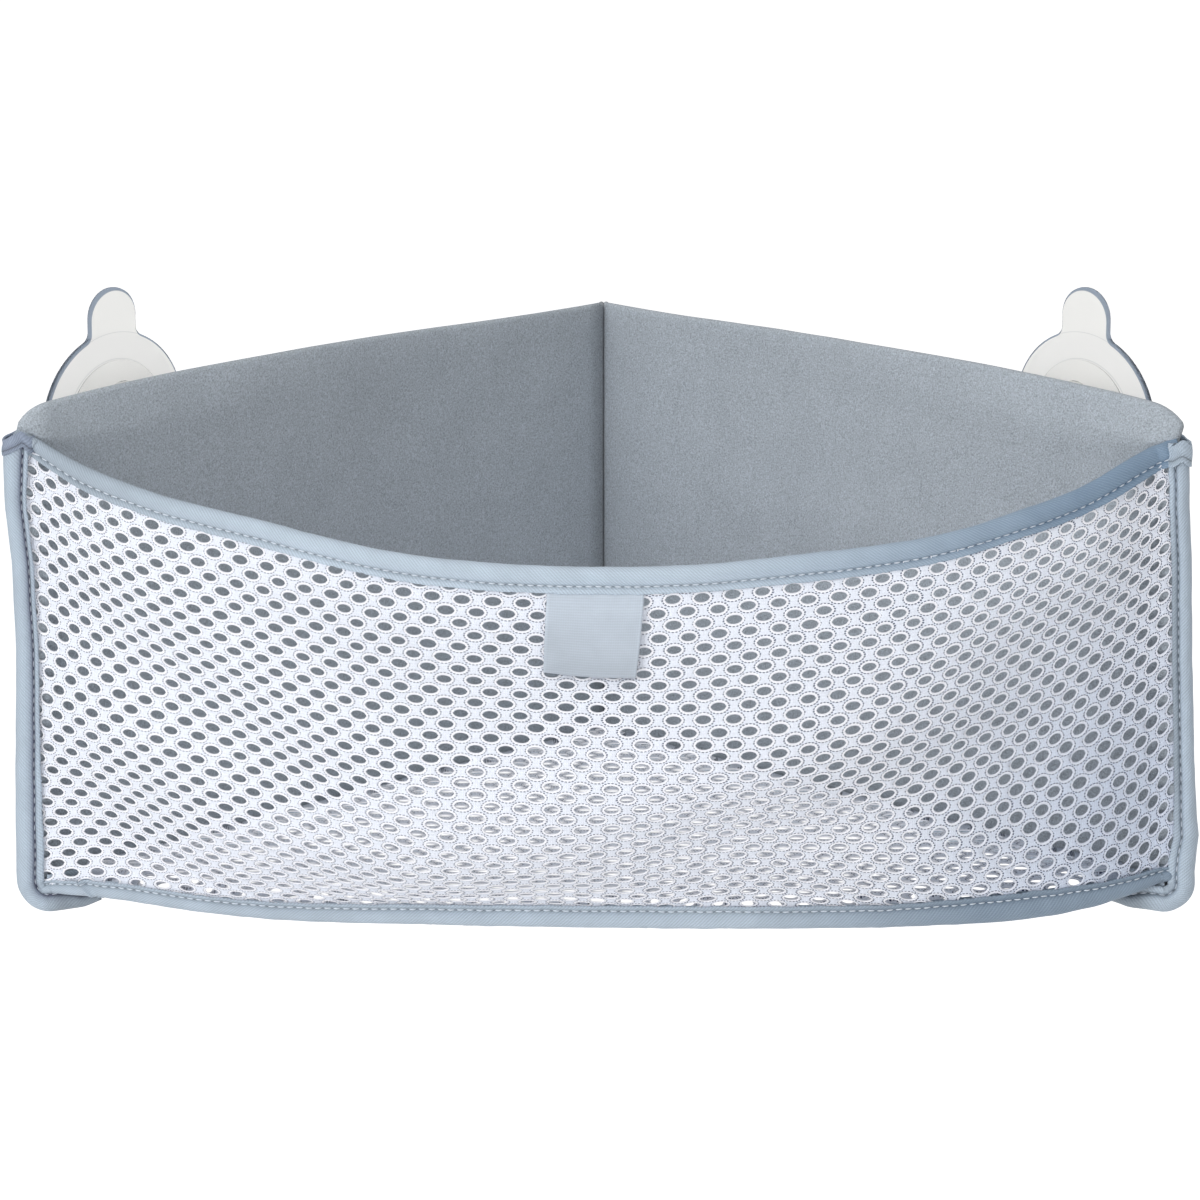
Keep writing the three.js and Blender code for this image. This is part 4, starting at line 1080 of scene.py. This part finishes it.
def floor_snap(flat, inside_only=False):
    """Rim points go to the nearest side of the outline, and all others stay inside it."""
    x = np.clip(flat[:, 0], -FLOOR_END, FLOOR_END)
    front, back = floor_limits(x)
    y = np.clip(flat[:, 1], front, back)
    if not inside_only:
        gaps = np.stack([y - front, (back - y) / math.sqrt(2), FLOOR_END - np.abs(x)])
        nearest = gaps.argmin(0)
        y = np.choose(nearest, [front, back, y])
        x = np.where(nearest == 2, np.sign(x) * FLOOR_END, x)
    return np.stack([x, y], 1)


def floor_hung(flat, lift):
    """The floor's cloth, flat but for a slow wave, and drawn down to the low tape at its front."""
    wave = 0.35 * bump_noise(83, flat[:, 0] / 60, flat[:, 1] / 50)
    front = floor_limits(flat[:, 0])[0]
    skirt = -5.0 * (1 - eased((flat[:, 1] - front) / 9))
    low = smooth_table(flat[:, 0], LOW_X, LOW_SHIFT) * (1 - eased((flat[:, 1] - front) / 30))
    place = np.column_stack([flat, FLOOR_Z + wave + lift + skirt + np.minimum(low, 3.0)])
    return slumped(place, front=False)


def floor_centres():
    """Staggered places of the floor's holes, whole cells only."""
    rows = np.arange(-62, 1)[:, None]
    u = (np.arange(-19, 20)[None] + 0.5 * (rows % 2)) * HOLE_PITCH
    v = np.broadcast_to(rows * ROW_PITCH, u.shape)
    centres = np.stack([u.ravel(), v.ravel()], 1)
    front, back = floor_limits(centres[:, 0])
    keep = (centres[:, 1] > front + 3.4) & (centres[:, 1] < back - 4.4)
    return centres[keep & (np.abs(centres[:, 0]) < FLOOR_END - 3.6)]


floor_net = surface("floor_net_cloth", *net_cells(floor_centres(), floor_hung, floor_snap))
floor_x = np.linspace(-FLOOR_END, FLOOR_END, 400)
floor_front, floor_back = floor_limits(floor_x)
FLOOR_AREA = float(np.trapz(floor_back - floor_front, floor_x))
print("floor net:", len(floor_centres()), "holes,", round(FLOOR_AREA / 100), "square cm")

# %% [markdown]
# The label is a short satin ribbon caught under the top tape. Its woven mark is left off, so it is
# bare, but it keeps its weave, its curl and the hot-cut edge. It narrows a little to one side as it
# turns with the net.

# %% The label
LABEL_WIDTH = 33
LABEL_LENGTH = 28
# Places in the net's flat cloth: upper left and right, lower left and right.
LABEL_CORNERS = [(-17.3, 153.9), (15.6, 153.0), (-17.6, 127.8), (12.4, 126.4)]


def label():
    """A ribbon in front of the net, between its corners' places in the cloth. It stands off as it
    comes out of the seam, and its lower right corner lifts."""
    u = np.linspace(0, 1, 50)[:, None]
    v = np.linspace(0, 1, 46)[None, :]
    corner = [np.array(place) for place in LABEL_CORNERS]
    top = corner[0] * (1 - u) + corner[1] * u
    low = corner[2] * (1 - u) + corner[3] * u
    flat = top[:, None] * (1 - v[..., None]) + low[:, None] * v[..., None]
    grid = looked_up(CLOTH_PLACE, flat[..., 0], flat[..., 1])
    lifted = np.maximum(u - 0.5, 0) ** 2 * v
    grid[..., 1] -= 0.7 + 1.4 * eased((v - 0.03) * 7) + 1.3 * (v ** 2 + lifted)
    grid[..., 2] -= 0.5 * np.sin(math.pi * u) * v
    piece = sheet_of("label", grid, LABEL_WIDTH * u[:, 0], LABEL_LENGTH * v[0], 0.5)
    return piece


label_piece = label()
print("label", LABEL_WIDTH, "by", LABEL_LENGTH, "mm")

# %% [markdown]
# Each wall mount is one moulded plate: a round disc with a round-ended tab to pull it off by. It
# holds a round foot with an upturned hook. The plate and its tab are one piece.

# %% The wall frame
ROOT = math.sqrt(0.5)
DISC_DISTANCE = 240.497


def on_wall(side, along, off, z):
    """A place on a room wall: along it from the corner, off it into the room, and up."""
    x = side * (along - off) * ROOT
    return np.stack(np.broadcast_arrays(x, -(along + off) * ROOT, z), -1)


# %% The discs with their tabs
DISC_RADIUS = 31
TAB_HALF = 10.1
TAB_TOP = 46.5
TAB_FILLET = 4
FOOT_RADIUS = 21.1
PLATE_SECTION = [  # share of the way out from the middle, and height off the wall
    (0.02, 3.3), (0.35, 3.3), (0.69, 3.3), (0.71, 3.3), (0.9, 3.3), (0.955, 3.35), (0.985, 3.25),
    (0.997, 2.95), (1, 2.1), (0.997, 1.2), (0.98, 0.95), (0.9, 0.9), (0.5, 0.9), (0.02, 0.9)]
FLAT_FACE = 3.28  # above this height a point counts as face, and below it as rim


def plate_outline(count):
    """Disc and tab as one outline about the disc's centre: two arcs, two fillets, two sides."""
    reach = DISC_RADIUS + TAB_FILLET
    fillet_x = TAB_HALF + TAB_FILLET
    fillet_z = math.sqrt(reach ** 2 - fillet_x ** 2)
    meet = math.atan2(fillet_x, fillet_z)
    disc = np.linspace(meet, math.pi, 240)
    line = [np.stack([DISC_RADIUS * np.sin(disc), DISC_RADIUS * np.cos(disc)], 1)[::-1]]
    turn = np.linspace(1.5 * math.pi - meet, math.pi, 14)
    line.append(np.stack([fillet_x + TAB_FILLET * np.cos(turn),
                          fillet_z + TAB_FILLET * np.sin(turn)], 1))
    cap = np.linspace(0, math.pi / 2, 40)
    line.append(np.stack([TAB_HALF * np.cos(cap), TAB_TOP - TAB_HALF + TAB_HALF * np.sin(cap)], 1))
    half = np.vstack(line)
    whole = np.vstack([half, half[::-1][1:-1] * [-1, 1]])
    return resampled(np.vstack([whole, whole[:1]]), count + 1)[:-1]


def plate(name, side):
    """Rings of the outline drawn in towards the centre, on the face, round the edge and behind.
    The second map gives how far out a point is, less on the face, for the painted dark rim."""
    share, height = np.array(PLATE_SECTION).T
    flat = plate_outline(360)[::-side][None] * share[:, None, None]
    off = np.broadcast_to(height[:, None], flat.shape[:2])
    rings = on_wall(side, DISC_DISTANCE + flat[..., 0], off, flat[..., 1])
    rim = np.repeat(share * np.where(height < FLAT_FACE, 1, 0.9), flat.shape[1])
    maps = [np.vstack([points, np.zeros((2, 2))])
            for points in (flat.reshape(-1, 2), np.stack([rim, rim], 1))]
    return tube_of("plate_" + name, rings, maps=maps)


plates = {name: plate(name, side) for name, side in SIDES.items()}
print("plates", len(plates["right"].data.polygons), "faces each")

# %% The feet and their hooks


def turned(name, side, profile, steps=96):
    """A round piece about the disc's axis from a profile of (radius, off the wall)."""
    angle = np.arange(steps) / steps * 2 * math.pi
    profile = np.asarray(profile, dtype=float)
    flat = profile[:, 0, None]
    rings = on_wall(side, DISC_DISTANCE + flat * np.sin(angle), profile[:, 1, None] + 0 * angle,
                    flat * np.cos(angle))
    return tube_of(name, rings[:, ::-side], lengths(profile), angle * 20)


HOOK_HALF = 6


def hook(name, side):
    """A strap carried along its path: out from the foot, round the bend and up to its tip. Its
    section is a rounded rectangle that thins and narrows at the tip."""
    path = rounded(np.array([(4.3, -1.5), (7.75, -1.5), (7.75, 14.3)]), 1)
    path = smoothed(resampled(path, 80), 10)
    at = lengths(path)
    angle = np.arange(24) / 24 * 2 * math.pi
    ring = np.stack([np.cos(angle), np.sin(angle)], 1)
    ring = np.sign(ring) * np.abs(ring) ** 0.5
    left = np.clip((at[-1] - at) / HOOK_HALF, 0, 1)
    width = HOOK_HALF * np.sqrt(1 - (1 - left) ** 2 * 0.97)
    thick = 1.0 * np.sqrt(np.clip((at[-1] - at) / 0.8, 0.02, 1))
    tangent = unit(np.gradient(path, axis=0))
    normal = np.stack([-tangent[:, 1], tangent[:, 0]], 1)
    off = path[:, 0, None] + normal[:, 0, None] * ring[:, 1] * thick[:, None]
    z = path[:, 1, None] + normal[:, 1, None] * ring[:, 1] * thick[:, None]
    along = DISC_DISTANCE + ring[:, 0] * width[:, None]
    rings = on_wall(side, along, off, z)[:, ::side]
    return tube_of("hook_strap_" + name, rings, at, angle * 4)


# Distance from the disc's axis and height off the wall.
FOOT_PROFILE = [(0.3, 3.85), (20.9, 3.85), (21.1, 4.0), (21.1, 4.35), (20.9, 4.55), (0.3, 4.55)]
PAD_PROFILE = [(0.3, 0), (29.8, 0), (30, 0.15), (30, 0.5), (29.8, 0.6), (0.3, 0.6)]
feet, hooks, pads = {}, {}, {}
for name, side in SIDES.items():
    feet[name] = turned("hook_foot_" + name, side, FOOT_PROFILE)
    pads[name] = turned("gel_pad_" + name, side, PAD_PROFILE)
    hooks[name] = hook(name, side)

# %% [markdown]
# A loop of flat webbing is sewn behind each panel and goes over the hook. The photograph hides it,
# so it is the usual 10 mm webbing, flat in the middle, with both ends sewn down by a small box of
# stitches.

# %% The hanging loops
SEWN_OFF = 8.45  # from the wall to the middle of the webbing where it is sewn down
LOOP_PATH = [(-28, SEWN_OFF), (-18, SEWN_OFF), (-16, 8.2), (-11, 5.9), (-9, 5.65), (9, 5.65),
             (11, 5.9), (16, 8.2), (18, SEWN_OFF), (28, SEWN_OFF)]
LOOP_LOW, LOOP_HIGH = 0.3, 10.3
WEBBING = 1.1


def hanging_loop(name, side):
    """Webbing along its path off the wall, with fine ribs left to its finish."""
    path = smoothed(resampled(np.array(LOOP_PATH, dtype=float), 160), 12)
    z = np.linspace(LOOP_LOW, LOOP_HIGH, 12)
    grid = on_wall(side, DISC_DISTANCE + path[:, 0, None], path[:, 1, None] + 0 * z, z[None])
    at = lengths(path)
    piece = sheet_of("loop_" + name, grid[::side], at, z - LOOP_LOW, WEBBING)
    return piece


def box_stitches(name, side, end, middle):
    """A box of stitches on one sewn end of a loop."""
    corners = [(-3.8, 1.6), (3.8, 1.6), (3.8, 9.0), (-3.8, 9.0), (-3.8, 1.6), (3.8, 9.0)]
    line = resampled(np.array(corners), 200)
    place = on_wall(side, DISC_DISTANCE + middle + line[:, 0], SEWN_OFF - WEBBING / 2, line[:, 1])
    out = np.tile(on_wall(side, 0, -1, 0), (len(line), 1))
    return stitch_row("loop_stitches_" + name + "_" + end, place, out, pitch=2.2, length=1.7,
                      radius=0.2)


loops = {name: hanging_loop(name, side) for name, side in SIDES.items()}
loop_stitches = {name: [box_stitches(name, side, "inner", -23.2),
                        box_stitches(name, side, "outer", 23.2)] for name, side in SIDES.items()}
print("loops", round(lengths(np.array(LOOP_PATH, dtype=float))[-1]), "mm of webbing each")

# %% [markdown]
# The soft pieces hang on the basket's body, and the mounts stay on the wall. Every piece stands
# for the solid of the same part in the CAD model.

# %% What each piece belongs to
TAB_BEND = (29.4, 34.4)  # heights above the disc's centre at the tab's root

for name, piece in panels.items():
    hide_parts("back_panel_" + name)
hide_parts("front_net")
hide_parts("floor_net")
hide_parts("top_binding_front")
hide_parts("bottom_binding_front")
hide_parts("corner_seam_binding")
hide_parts("label_tag")
slots = {"foam_laminate": list(panels.values()), "knitted_net": [front_net, floor_net],
         "binding_tape": [*top_tape, *low_tape, *corner], "satin_label": [label_piece],
         "loop_webbing": []}
for name in SIDES:
    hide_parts("side_binding_" + name)
    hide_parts("bottom_binding_back_" + name)
    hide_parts("hanging_loop_" + name)
    slots["binding_tape"] += [*side_tapes[name], *cuffs[name], *back_tapes[name]]
    slots["loop_webbing"] += [loops[name], *loop_stitches[name]]
for slot, pieces in slots.items():
    for piece in pieces:
        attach(piece, "basket")
for name, side in SIDES.items():
    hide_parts("mount_disc_" + name, "pull_tab_" + name)
    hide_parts("hook_" + name)
    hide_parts("adhesive_pad_" + name)
    below, above = (tuple(on_wall(side, DISC_DISTANCE, 2, z) * MM) for z in TAB_BEND)
    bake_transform(plates[name], "wall_mounts", "pull_tab_" + name, start=below, end=above)
    for piece, slot in ((feet[name], "clear_hook"), (hooks[name], "clear_hook"),
                        (pads[name], "clear_adhesive")):
        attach(piece, "wall_mounts")

# %% [markdown]
# Finishes are procedural. Cloth patterns read the "cloth" map, which holds each point's place in
# the flat cloth in millimetres, so a weave keeps its size however the piece bends. Patterns are
# node groups that give a colour and a height. The shader and its single values stay in the
# material.

# %% Helpers for finishes


def tint(red, green, blue):
    """A colour from screen values of 0 to 255, as the linear light values that shaders take."""
    screen = np.array([red, green, blue]) / 255
    linear = np.where(screen > 0.04045, ((screen + 0.055) / 1.055) ** 2.4, screen / 12.92)
    return (*linear.tolist(), 1.0)


def node_of(field, kind, inputs, output=0, **settings):
    """A new node beside a field: its settings, its inputs by number or name, and one output."""
    node = field.tree.nodes.new("ShaderNode" + kind)
    for key, value in settings.items():
        setattr(node, key, value)
    for key, value in inputs.items():
        feed(node.inputs[key], value)
    return Field(field.tree, node.outputs[output])


def blended(factor, a, b):
    """A mix of two colours, each a tuple or a field."""
    return node_of(factor, "Mix", {0: factor, 6: a, 7: b}, 2, data_type="RGBA")


def noise(place, scale, detail=2.0):
    """Soft noise from nought to one."""
    return node_of(place, "TexNoise", {"Vector": place, "Scale": scale, "Detail": detail})


def shaded(base, factor):
    """The base colour times a grey factor."""
    return node_of(base, "VectorMath", {0: base, "Scale": factor}, operation="SCALE")


def place_in(base, layer=None):
    """Object coordinates, or the named map's."""
    if layer is None:
        return node_of(base, "TexCoord", {}, "Object")
    return node_of(base, "UVMap", {}, uv_map=layer)


def split(place):
    """The three parts of a vector."""
    first = node_of(place, "SeparateXYZ", {0: place})
    return [Field(place.tree, socket) for socket in first.socket.node.outputs]


def wave(value, pitch):
    """A sine of the given pitch, from nought to one."""
    return calc("SINE", value * (2 * math.pi / pitch)) * 0.5 + 0.5


def band(value, start, end, soft):
    """One between start and end, nought elsewhere, with soft edges."""
    level = calc("MINIMUM", (value - start) / soft, (end - value) / soft)
    return calc("MAXIMUM", calc("MINIMUM", level, 1.0), 0.0)


def distance(x, y):
    """The distance from the middle by both parts."""
    return calc("SQRT", x * x + y * y)


def pattern(build):
    """A node group with a base colour in, and a colour and a height out, built once."""
    if build.__name__ in bpy.data.node_groups:
        return bpy.data.node_groups[build.__name__]
    tree = bpy.data.node_groups.new(build.__name__, "ShaderNodeTree")
    for name, way, kind in (("Base Color", "INPUT", "Color"), ("Color", "OUTPUT", "Color"),
                            ("Height", "OUTPUT", "Float")):
        tree.interface.new_socket(name, in_out=way, socket_type="NodeSocket" + kind)
    base = Field(tree, tree.nodes.new("NodeGroupInput").outputs[0])
    for socket, value in zip(tree.nodes.new("NodeGroupOutput").inputs, build(base)):
        feed(socket, value)
    return tree


def finish(name, base, build=None, bump=0.0, **values):
    """A Principled material: a base colour in screen values, an optional pattern with its bump
    height in mm, and single values by their socket's name with underscores."""
    material = bpy.data.materials.new(name)
    material.use_nodes = True
    tree = material.node_tree
    shader = tree.nodes["Principled BSDF"]
    for key, value in values.items():
        shader.inputs[key.replace("_", " ")].default_value = value
    if build is None:
        shader.inputs["Base Color"].default_value = tint(*base)
        return material
    node = tree.nodes.new("ShaderNodeGroup")
    node.node_tree = pattern(build)
    node.inputs[0].default_value = tint(*base)
    feed(shader.inputs["Base Color"], Field(tree, node.outputs[0]))
    height = Field(tree, node.outputs[1])
    raised = node_of(height, "Bump", {"Distance": bump * MM, "Height": height})
    feed(shader.inputs["Normal"], raised)
    return material


# %% [markdown]
# The foam's face is a brushed knit of mixed light and dark yarn: a fine speckle of about a
# millimetre over a slower cloud, and a nap that catches light at a low angle.

# %% Foam laminate


def heather(base):
    """A fine speckle, single dark fibres where a finer noise is low, a slow cloud, and the shade
    of the crease in the back corner, as a grey factor round one."""
    place = place_in(base)
    fine = noise(place, 1700, 3.0)
    fibres = band(noise(place, 2600), -1.0, 0.4, 0.07)
    across = split(place)[0]
    crease = band(across, -0.004, 1.0, 0.0058) * calc("LESS_THAN", across, MM * CORNER_SHIFT)
    speckle = fine * 1.5 + 0.27 - fibres * 0.16
    cloud = noise(place, 55) * 0.18 + 0.91
    return shaded(base, speckle * cloud * (1 - crease * 0.34)), fine


foam_finish = finish("foam_laminate", (168, 176, 184), heather, 0.4, Roughness=0.95,
                     Sheen_Weight=0.25, Sheen_Roughness=0.5)

# %% [markdown]
# The tape is a twill: slanted ribs a little over a millimetre apart, crossed by finer threads.

# %% Woven tape
TAPE_LOOK = {"Roughness": 0.72, "Sheen_Weight": 0.1}
TAPE_BUMP = 0.12


def twill(base):
    """Slanted ribs as a sine of the sum of both places, crossed by finer threads. The colour
    darkens in a soft band at the stitches, as painted shade of the groove they pull in."""
    u, v, _ = split(place_in(base, "cloth"))
    height = wave(v, 0.55) * 0.4 + wave(u + v, 1.25)
    cloud = noise(place_in(base), 90) * 0.24 + 0.88
    away = split(place_in(base, "ring"))[1]
    # painted shade: a narrow and a wide dark band along the stitches' groove
    seam = band(away, -0.36, 0.36, 0.2) + band(away, -1.5, 1.5, 1.4)
    return shaded(base, (height * 0.23 + 0.82) * cloud * (1 - seam * 0.26)), height


def front_twill(base):
    """The twill with painted shade on the front tapes: the top tape turns darker blue
    towards its right end and a little darker at its left end, the low tape towards both."""
    colour, height = twill(base)
    x, _, z = split(place_in(base))
    left = x * -1.0
    top = band(z, -0.09, 1.0, 0.04)
    low = 1 - top
    # painted shade: the tapes darker towards their ends, and a blue painted shade towards the right
    low_tape_painted_shade = band(x, 0.03, 1.0, 0.08) * 0.14 + band(left, 0.03, 1.0, 0.08) * 0.06 + 0.08
    shade = band(left, 0.105, 1.0, 0.07) * 0.26 * top + low_tape_painted_shade * low
    blue = band(x, 0.035, 1.0, 0.13) * top * 0.6 + band(x, 0.05, 1.0, 0.08) * low * 0.42
    return shaded(blended(blue, colour, tint(40, 92, 130)), 1 - shade), height


def side_twill(base):
    """The twill with painted shade: the left roll darker and more purple towards its stitches,
    the right tape's lip in the shade of its roll, and dark folds in the foot."""
    colour, height = twill(base)
    away = split(place_in(base, "ring"))[1]
    x, _, z = split(place_in(base))
    left = calc("LESS_THAN", x, 0.0)
    # painted shade on the left roll, deepening to purple towards the stitches
    roll = band(away, -40.0, 4.6, 4.8) * left * calc("GREATER_THAN", away, -0.5)
    colour = blended(calc("POWER", roll, 1.5) * 0.9, colour, tint(84, 84, 114))
    lip = (1 - left) * band(away, -9.0, -0.1, 0.8) * band(z, -0.15, -0.02, 0.03)
    # painted shade in the folds of the feet
    foot = band(z, -1.0, -0.154, 0.006) * band(calc("ABSOLUTE", x), -1.0, 0.193, 0.006)
    return shaded(shaded(colour, 1 - lip * 0.3), 1 - foot * 0.4), height


front_finish = finish("binding_tape_front", (184, 198, 212), front_twill, TAPE_BUMP, **TAPE_LOOK)
side_finish = finish("binding_tape_side", (172, 186, 200), side_twill, TAPE_BUMP, **TAPE_LOOK)
tape_finish = finish("binding_tape", (172, 186, 200), twill, TAPE_BUMP, **TAPE_LOOK)
# the left cuff wears a darker copy of the tape's finish, as painted shade
shaded_cuff_finish = finish("binding_tape_cuff_painted_shade", (140, 151, 170), twill, TAPE_BUMP, Roughness=0.72)
thread_finish = finish("thread", (216, 224, 233), Roughness=0.5)

# %% [markdown]
# The net's yarn lies in a thick smooth ring round each hole. Outside the ring runs a thin line of
# small dark gaps, where the knit opens, and between the rings lies a flat knitted field.

# %% Knitted net
RING_GAP = 1.0


def net_yarn(base):
    """Rings by the distance from the hole's middle, as a share of the ring a millimetre outside its
    edge. The lip is the bare base. The gaps are a band at that ring times dashes of the angle, made
    paler on the left as painted light. The field is bluer and darker, with a fine knit of two
    crossed waves, and painted shade makes it bluer still at the lower right."""
    x, y, _ = split(place_in(base, "ring"))
    x = x * (HOLE_HALF[0] / (HOLE_HALF[0] + RING_GAP))
    y = y * (HOLE_HALF[1] / (HOLE_HALF[1] + RING_GAP))
    reach = distance(x, y)
    dashes = calc("GREATER_THAN", wave(calc("ARCTAN2", y, x), 2 * math.pi / 18), 0.36)
    gaps = band(reach, 0.9, 1.06, 0.03) * dashes
    field = band(reach, 0.93, 9.0, 0.08)
    u, v, _ = split(place_in(base, "cloth"))
    knit = field * wave(u, 0.8) * wave(v, 0.95)
    place = place_in(base)
    across, _, up = split(place)
    # painted shade: the field turns bluer at the lower right
    low = band(across, 0.09, 1.0, 0.08) * band(up, -1.0, -0.03, 0.09)
    colour = blended(field * 0.5, base, tint(206, 215, 231))
    colour = blended(low * 0.4, colour, tint(158, 178, 208))
    fuzz = calc("MAXIMUM", field * noise(place, 1500) * 0.3 + 0.86, 1 - field)
    # painted light: the gaps are paler on the left and darker towards the right
    depth = band(across, -0.1, 1.0, 0.2) * 0.35 + 0.62
    colour = blended(gaps * depth, shaded(colour, knit * 0.1 + fuzz), tint(58, 68, 100))
    return colour, knit - gaps


net_finish = finish("knitted_net", (246, 247, 253), net_yarn, 0.14, Roughness=0.8)

# %% [markdown]
# The label is satin ribbon, smoother and brighter than the tape, with fine ribs both ways. The
# loops' webbing has finer ribs.

# %% Satin and webbing


def webbing(base):
    """Fine ribs across the ribbon."""
    u, v, _ = split(place_in(base, "cloth"))
    height = wave(v, 0.42) + wave(u, 0.3) * 0.4
    return shaded(base, height * 0.035 + 0.97), height


def satin(base):
    """Fine ribs, a painted sheen that makes the top lighter and the foot darker, and a light woven
    edge at both sides.
    """
    u, v, _ = split(place_in(base, "cloth"))
    height = wave(v, 0.9) + wave(u, 0.8) * 0.5
    middle = band(u, 0.5, LABEL_WIDTH - 0.5, 0.5)
    # painted sheen: the label darkens from its top down
    factor = height * 0.09 + 1.0 - v * (0.2 / LABEL_LENGTH) - middle * 0.07
    return shaded(base, factor * (noise(place_in(base), 110) * 0.22 + 0.9)), height


satin_finish = finish("satin_label", (186, 196, 208), satin, 0.04, Roughness=0.38, Anisotropic=0.5,
                      Sheen_Weight=0.2)
webbing_finish = finish("loop_webbing", (152, 164, 174), webbing, 0.12, Roughness=0.8)

# %% [markdown]
# The mounts are clear plastic that looks milky against the white wall. The face is a warm pale
# grey. The moulded edge has a painted blue-grey band for the light it bends and reflects, and
# thin lines of painted shade show the foot's edge and the groove at the tab's root.

# %% Clear plastic
MILKY = (229, 229, 227)


def moulded(base):
    """The rim's wall by the second map, painted blue-grey for the light it bends and reflects, and
    thin lines of painted shade at two distances from the disc's middle.
    """
    x, y, _ = split(place_in(base, "cloth"))
    reach = distance(x, y)
    rim = band(split(place_in(base, "ring"))[0], 0.93, 9.0, 0.03)
    root = band(reach, DISC_RADIUS - 0.5, DISC_RADIUS - 0.1, 0.15) * calc("GREATER_THAN", y, 0.0)
    foot_edge_shade = band(reach, FOOT_RADIUS, FOOT_RADIUS + 0.5, 0.15)
    # painted shade: thin grey lines at the tab's groove and at the foot's edge
    colour = blended(calc("MAXIMUM", root, foot_edge_shade), base, tint(196, 198, 198))
    # painted reflection: the blue-grey band on the rim's wall
    return blended(rim, colour, tint(92, 106, 127)), rim


def plain_inside(material, colour):
    """Light on its way out of the plate meets a plain wall, so only the near edge looks dark."""
    tree = material.node_tree
    socket = tree.nodes["Principled BSDF"].inputs["Base Color"]
    outside = Field(tree, socket.links[0].from_socket)
    inside = node_of(outside, "NewGeometry", {}, "Backfacing")
    feed(socket, blended(inside, outside, tint(*colour)))


plate_finish = finish("clear_plate", MILKY, moulded, 0.05, Roughness=0.3, Transmission_Weight=0.9,
                      IOR=1.12)
plain_inside(plate_finish, MILKY)
hook_finish = finish("clear_hook", (251, 251, 250), Roughness=0.25, Transmission_Weight=0.94,
                     IOR=1.1)
gel_finish = finish("clear_adhesive", (253, 253, 254), Roughness=0.2, Transmission_Weight=0.97,
                    IOR=1.1)

# %% Which piece wears which finish
side_pieces = [side_tapes[name][0] for name in SIDES]
hidden_tapes = [corner, *back_tapes.values()]
sewn = [top_tape, low_tape, *hidden_tapes, *side_tapes.values(), *cuffs.values()]
worn = [(foam_finish, panels.values()), (net_finish, [front_net, floor_net]),
        (front_finish, [top_tape[0], low_tape[0]]), (side_finish, side_pieces),
        (tape_finish, [tape[0] for tape in hidden_tapes] + [cuffs["right"][0]]),
        (shaded_cuff_finish, [cuffs["left"][0]]), (satin_finish, [label_piece]),
        (thread_finish, [tape[1] for tape in sewn] + sum(loop_stitches.values(), [])),
        (webbing_finish, loops.values()), (plate_finish, plates.values()),
        (hook_finish, [*feet.values(), *hooks.values()]), (gel_finish, pads.values())]
for material, pieces in worn:
    for piece in pieces:
        piece.data.materials.append(material)
print("finishes:", ", ".join(material.name for material, _ in worn))
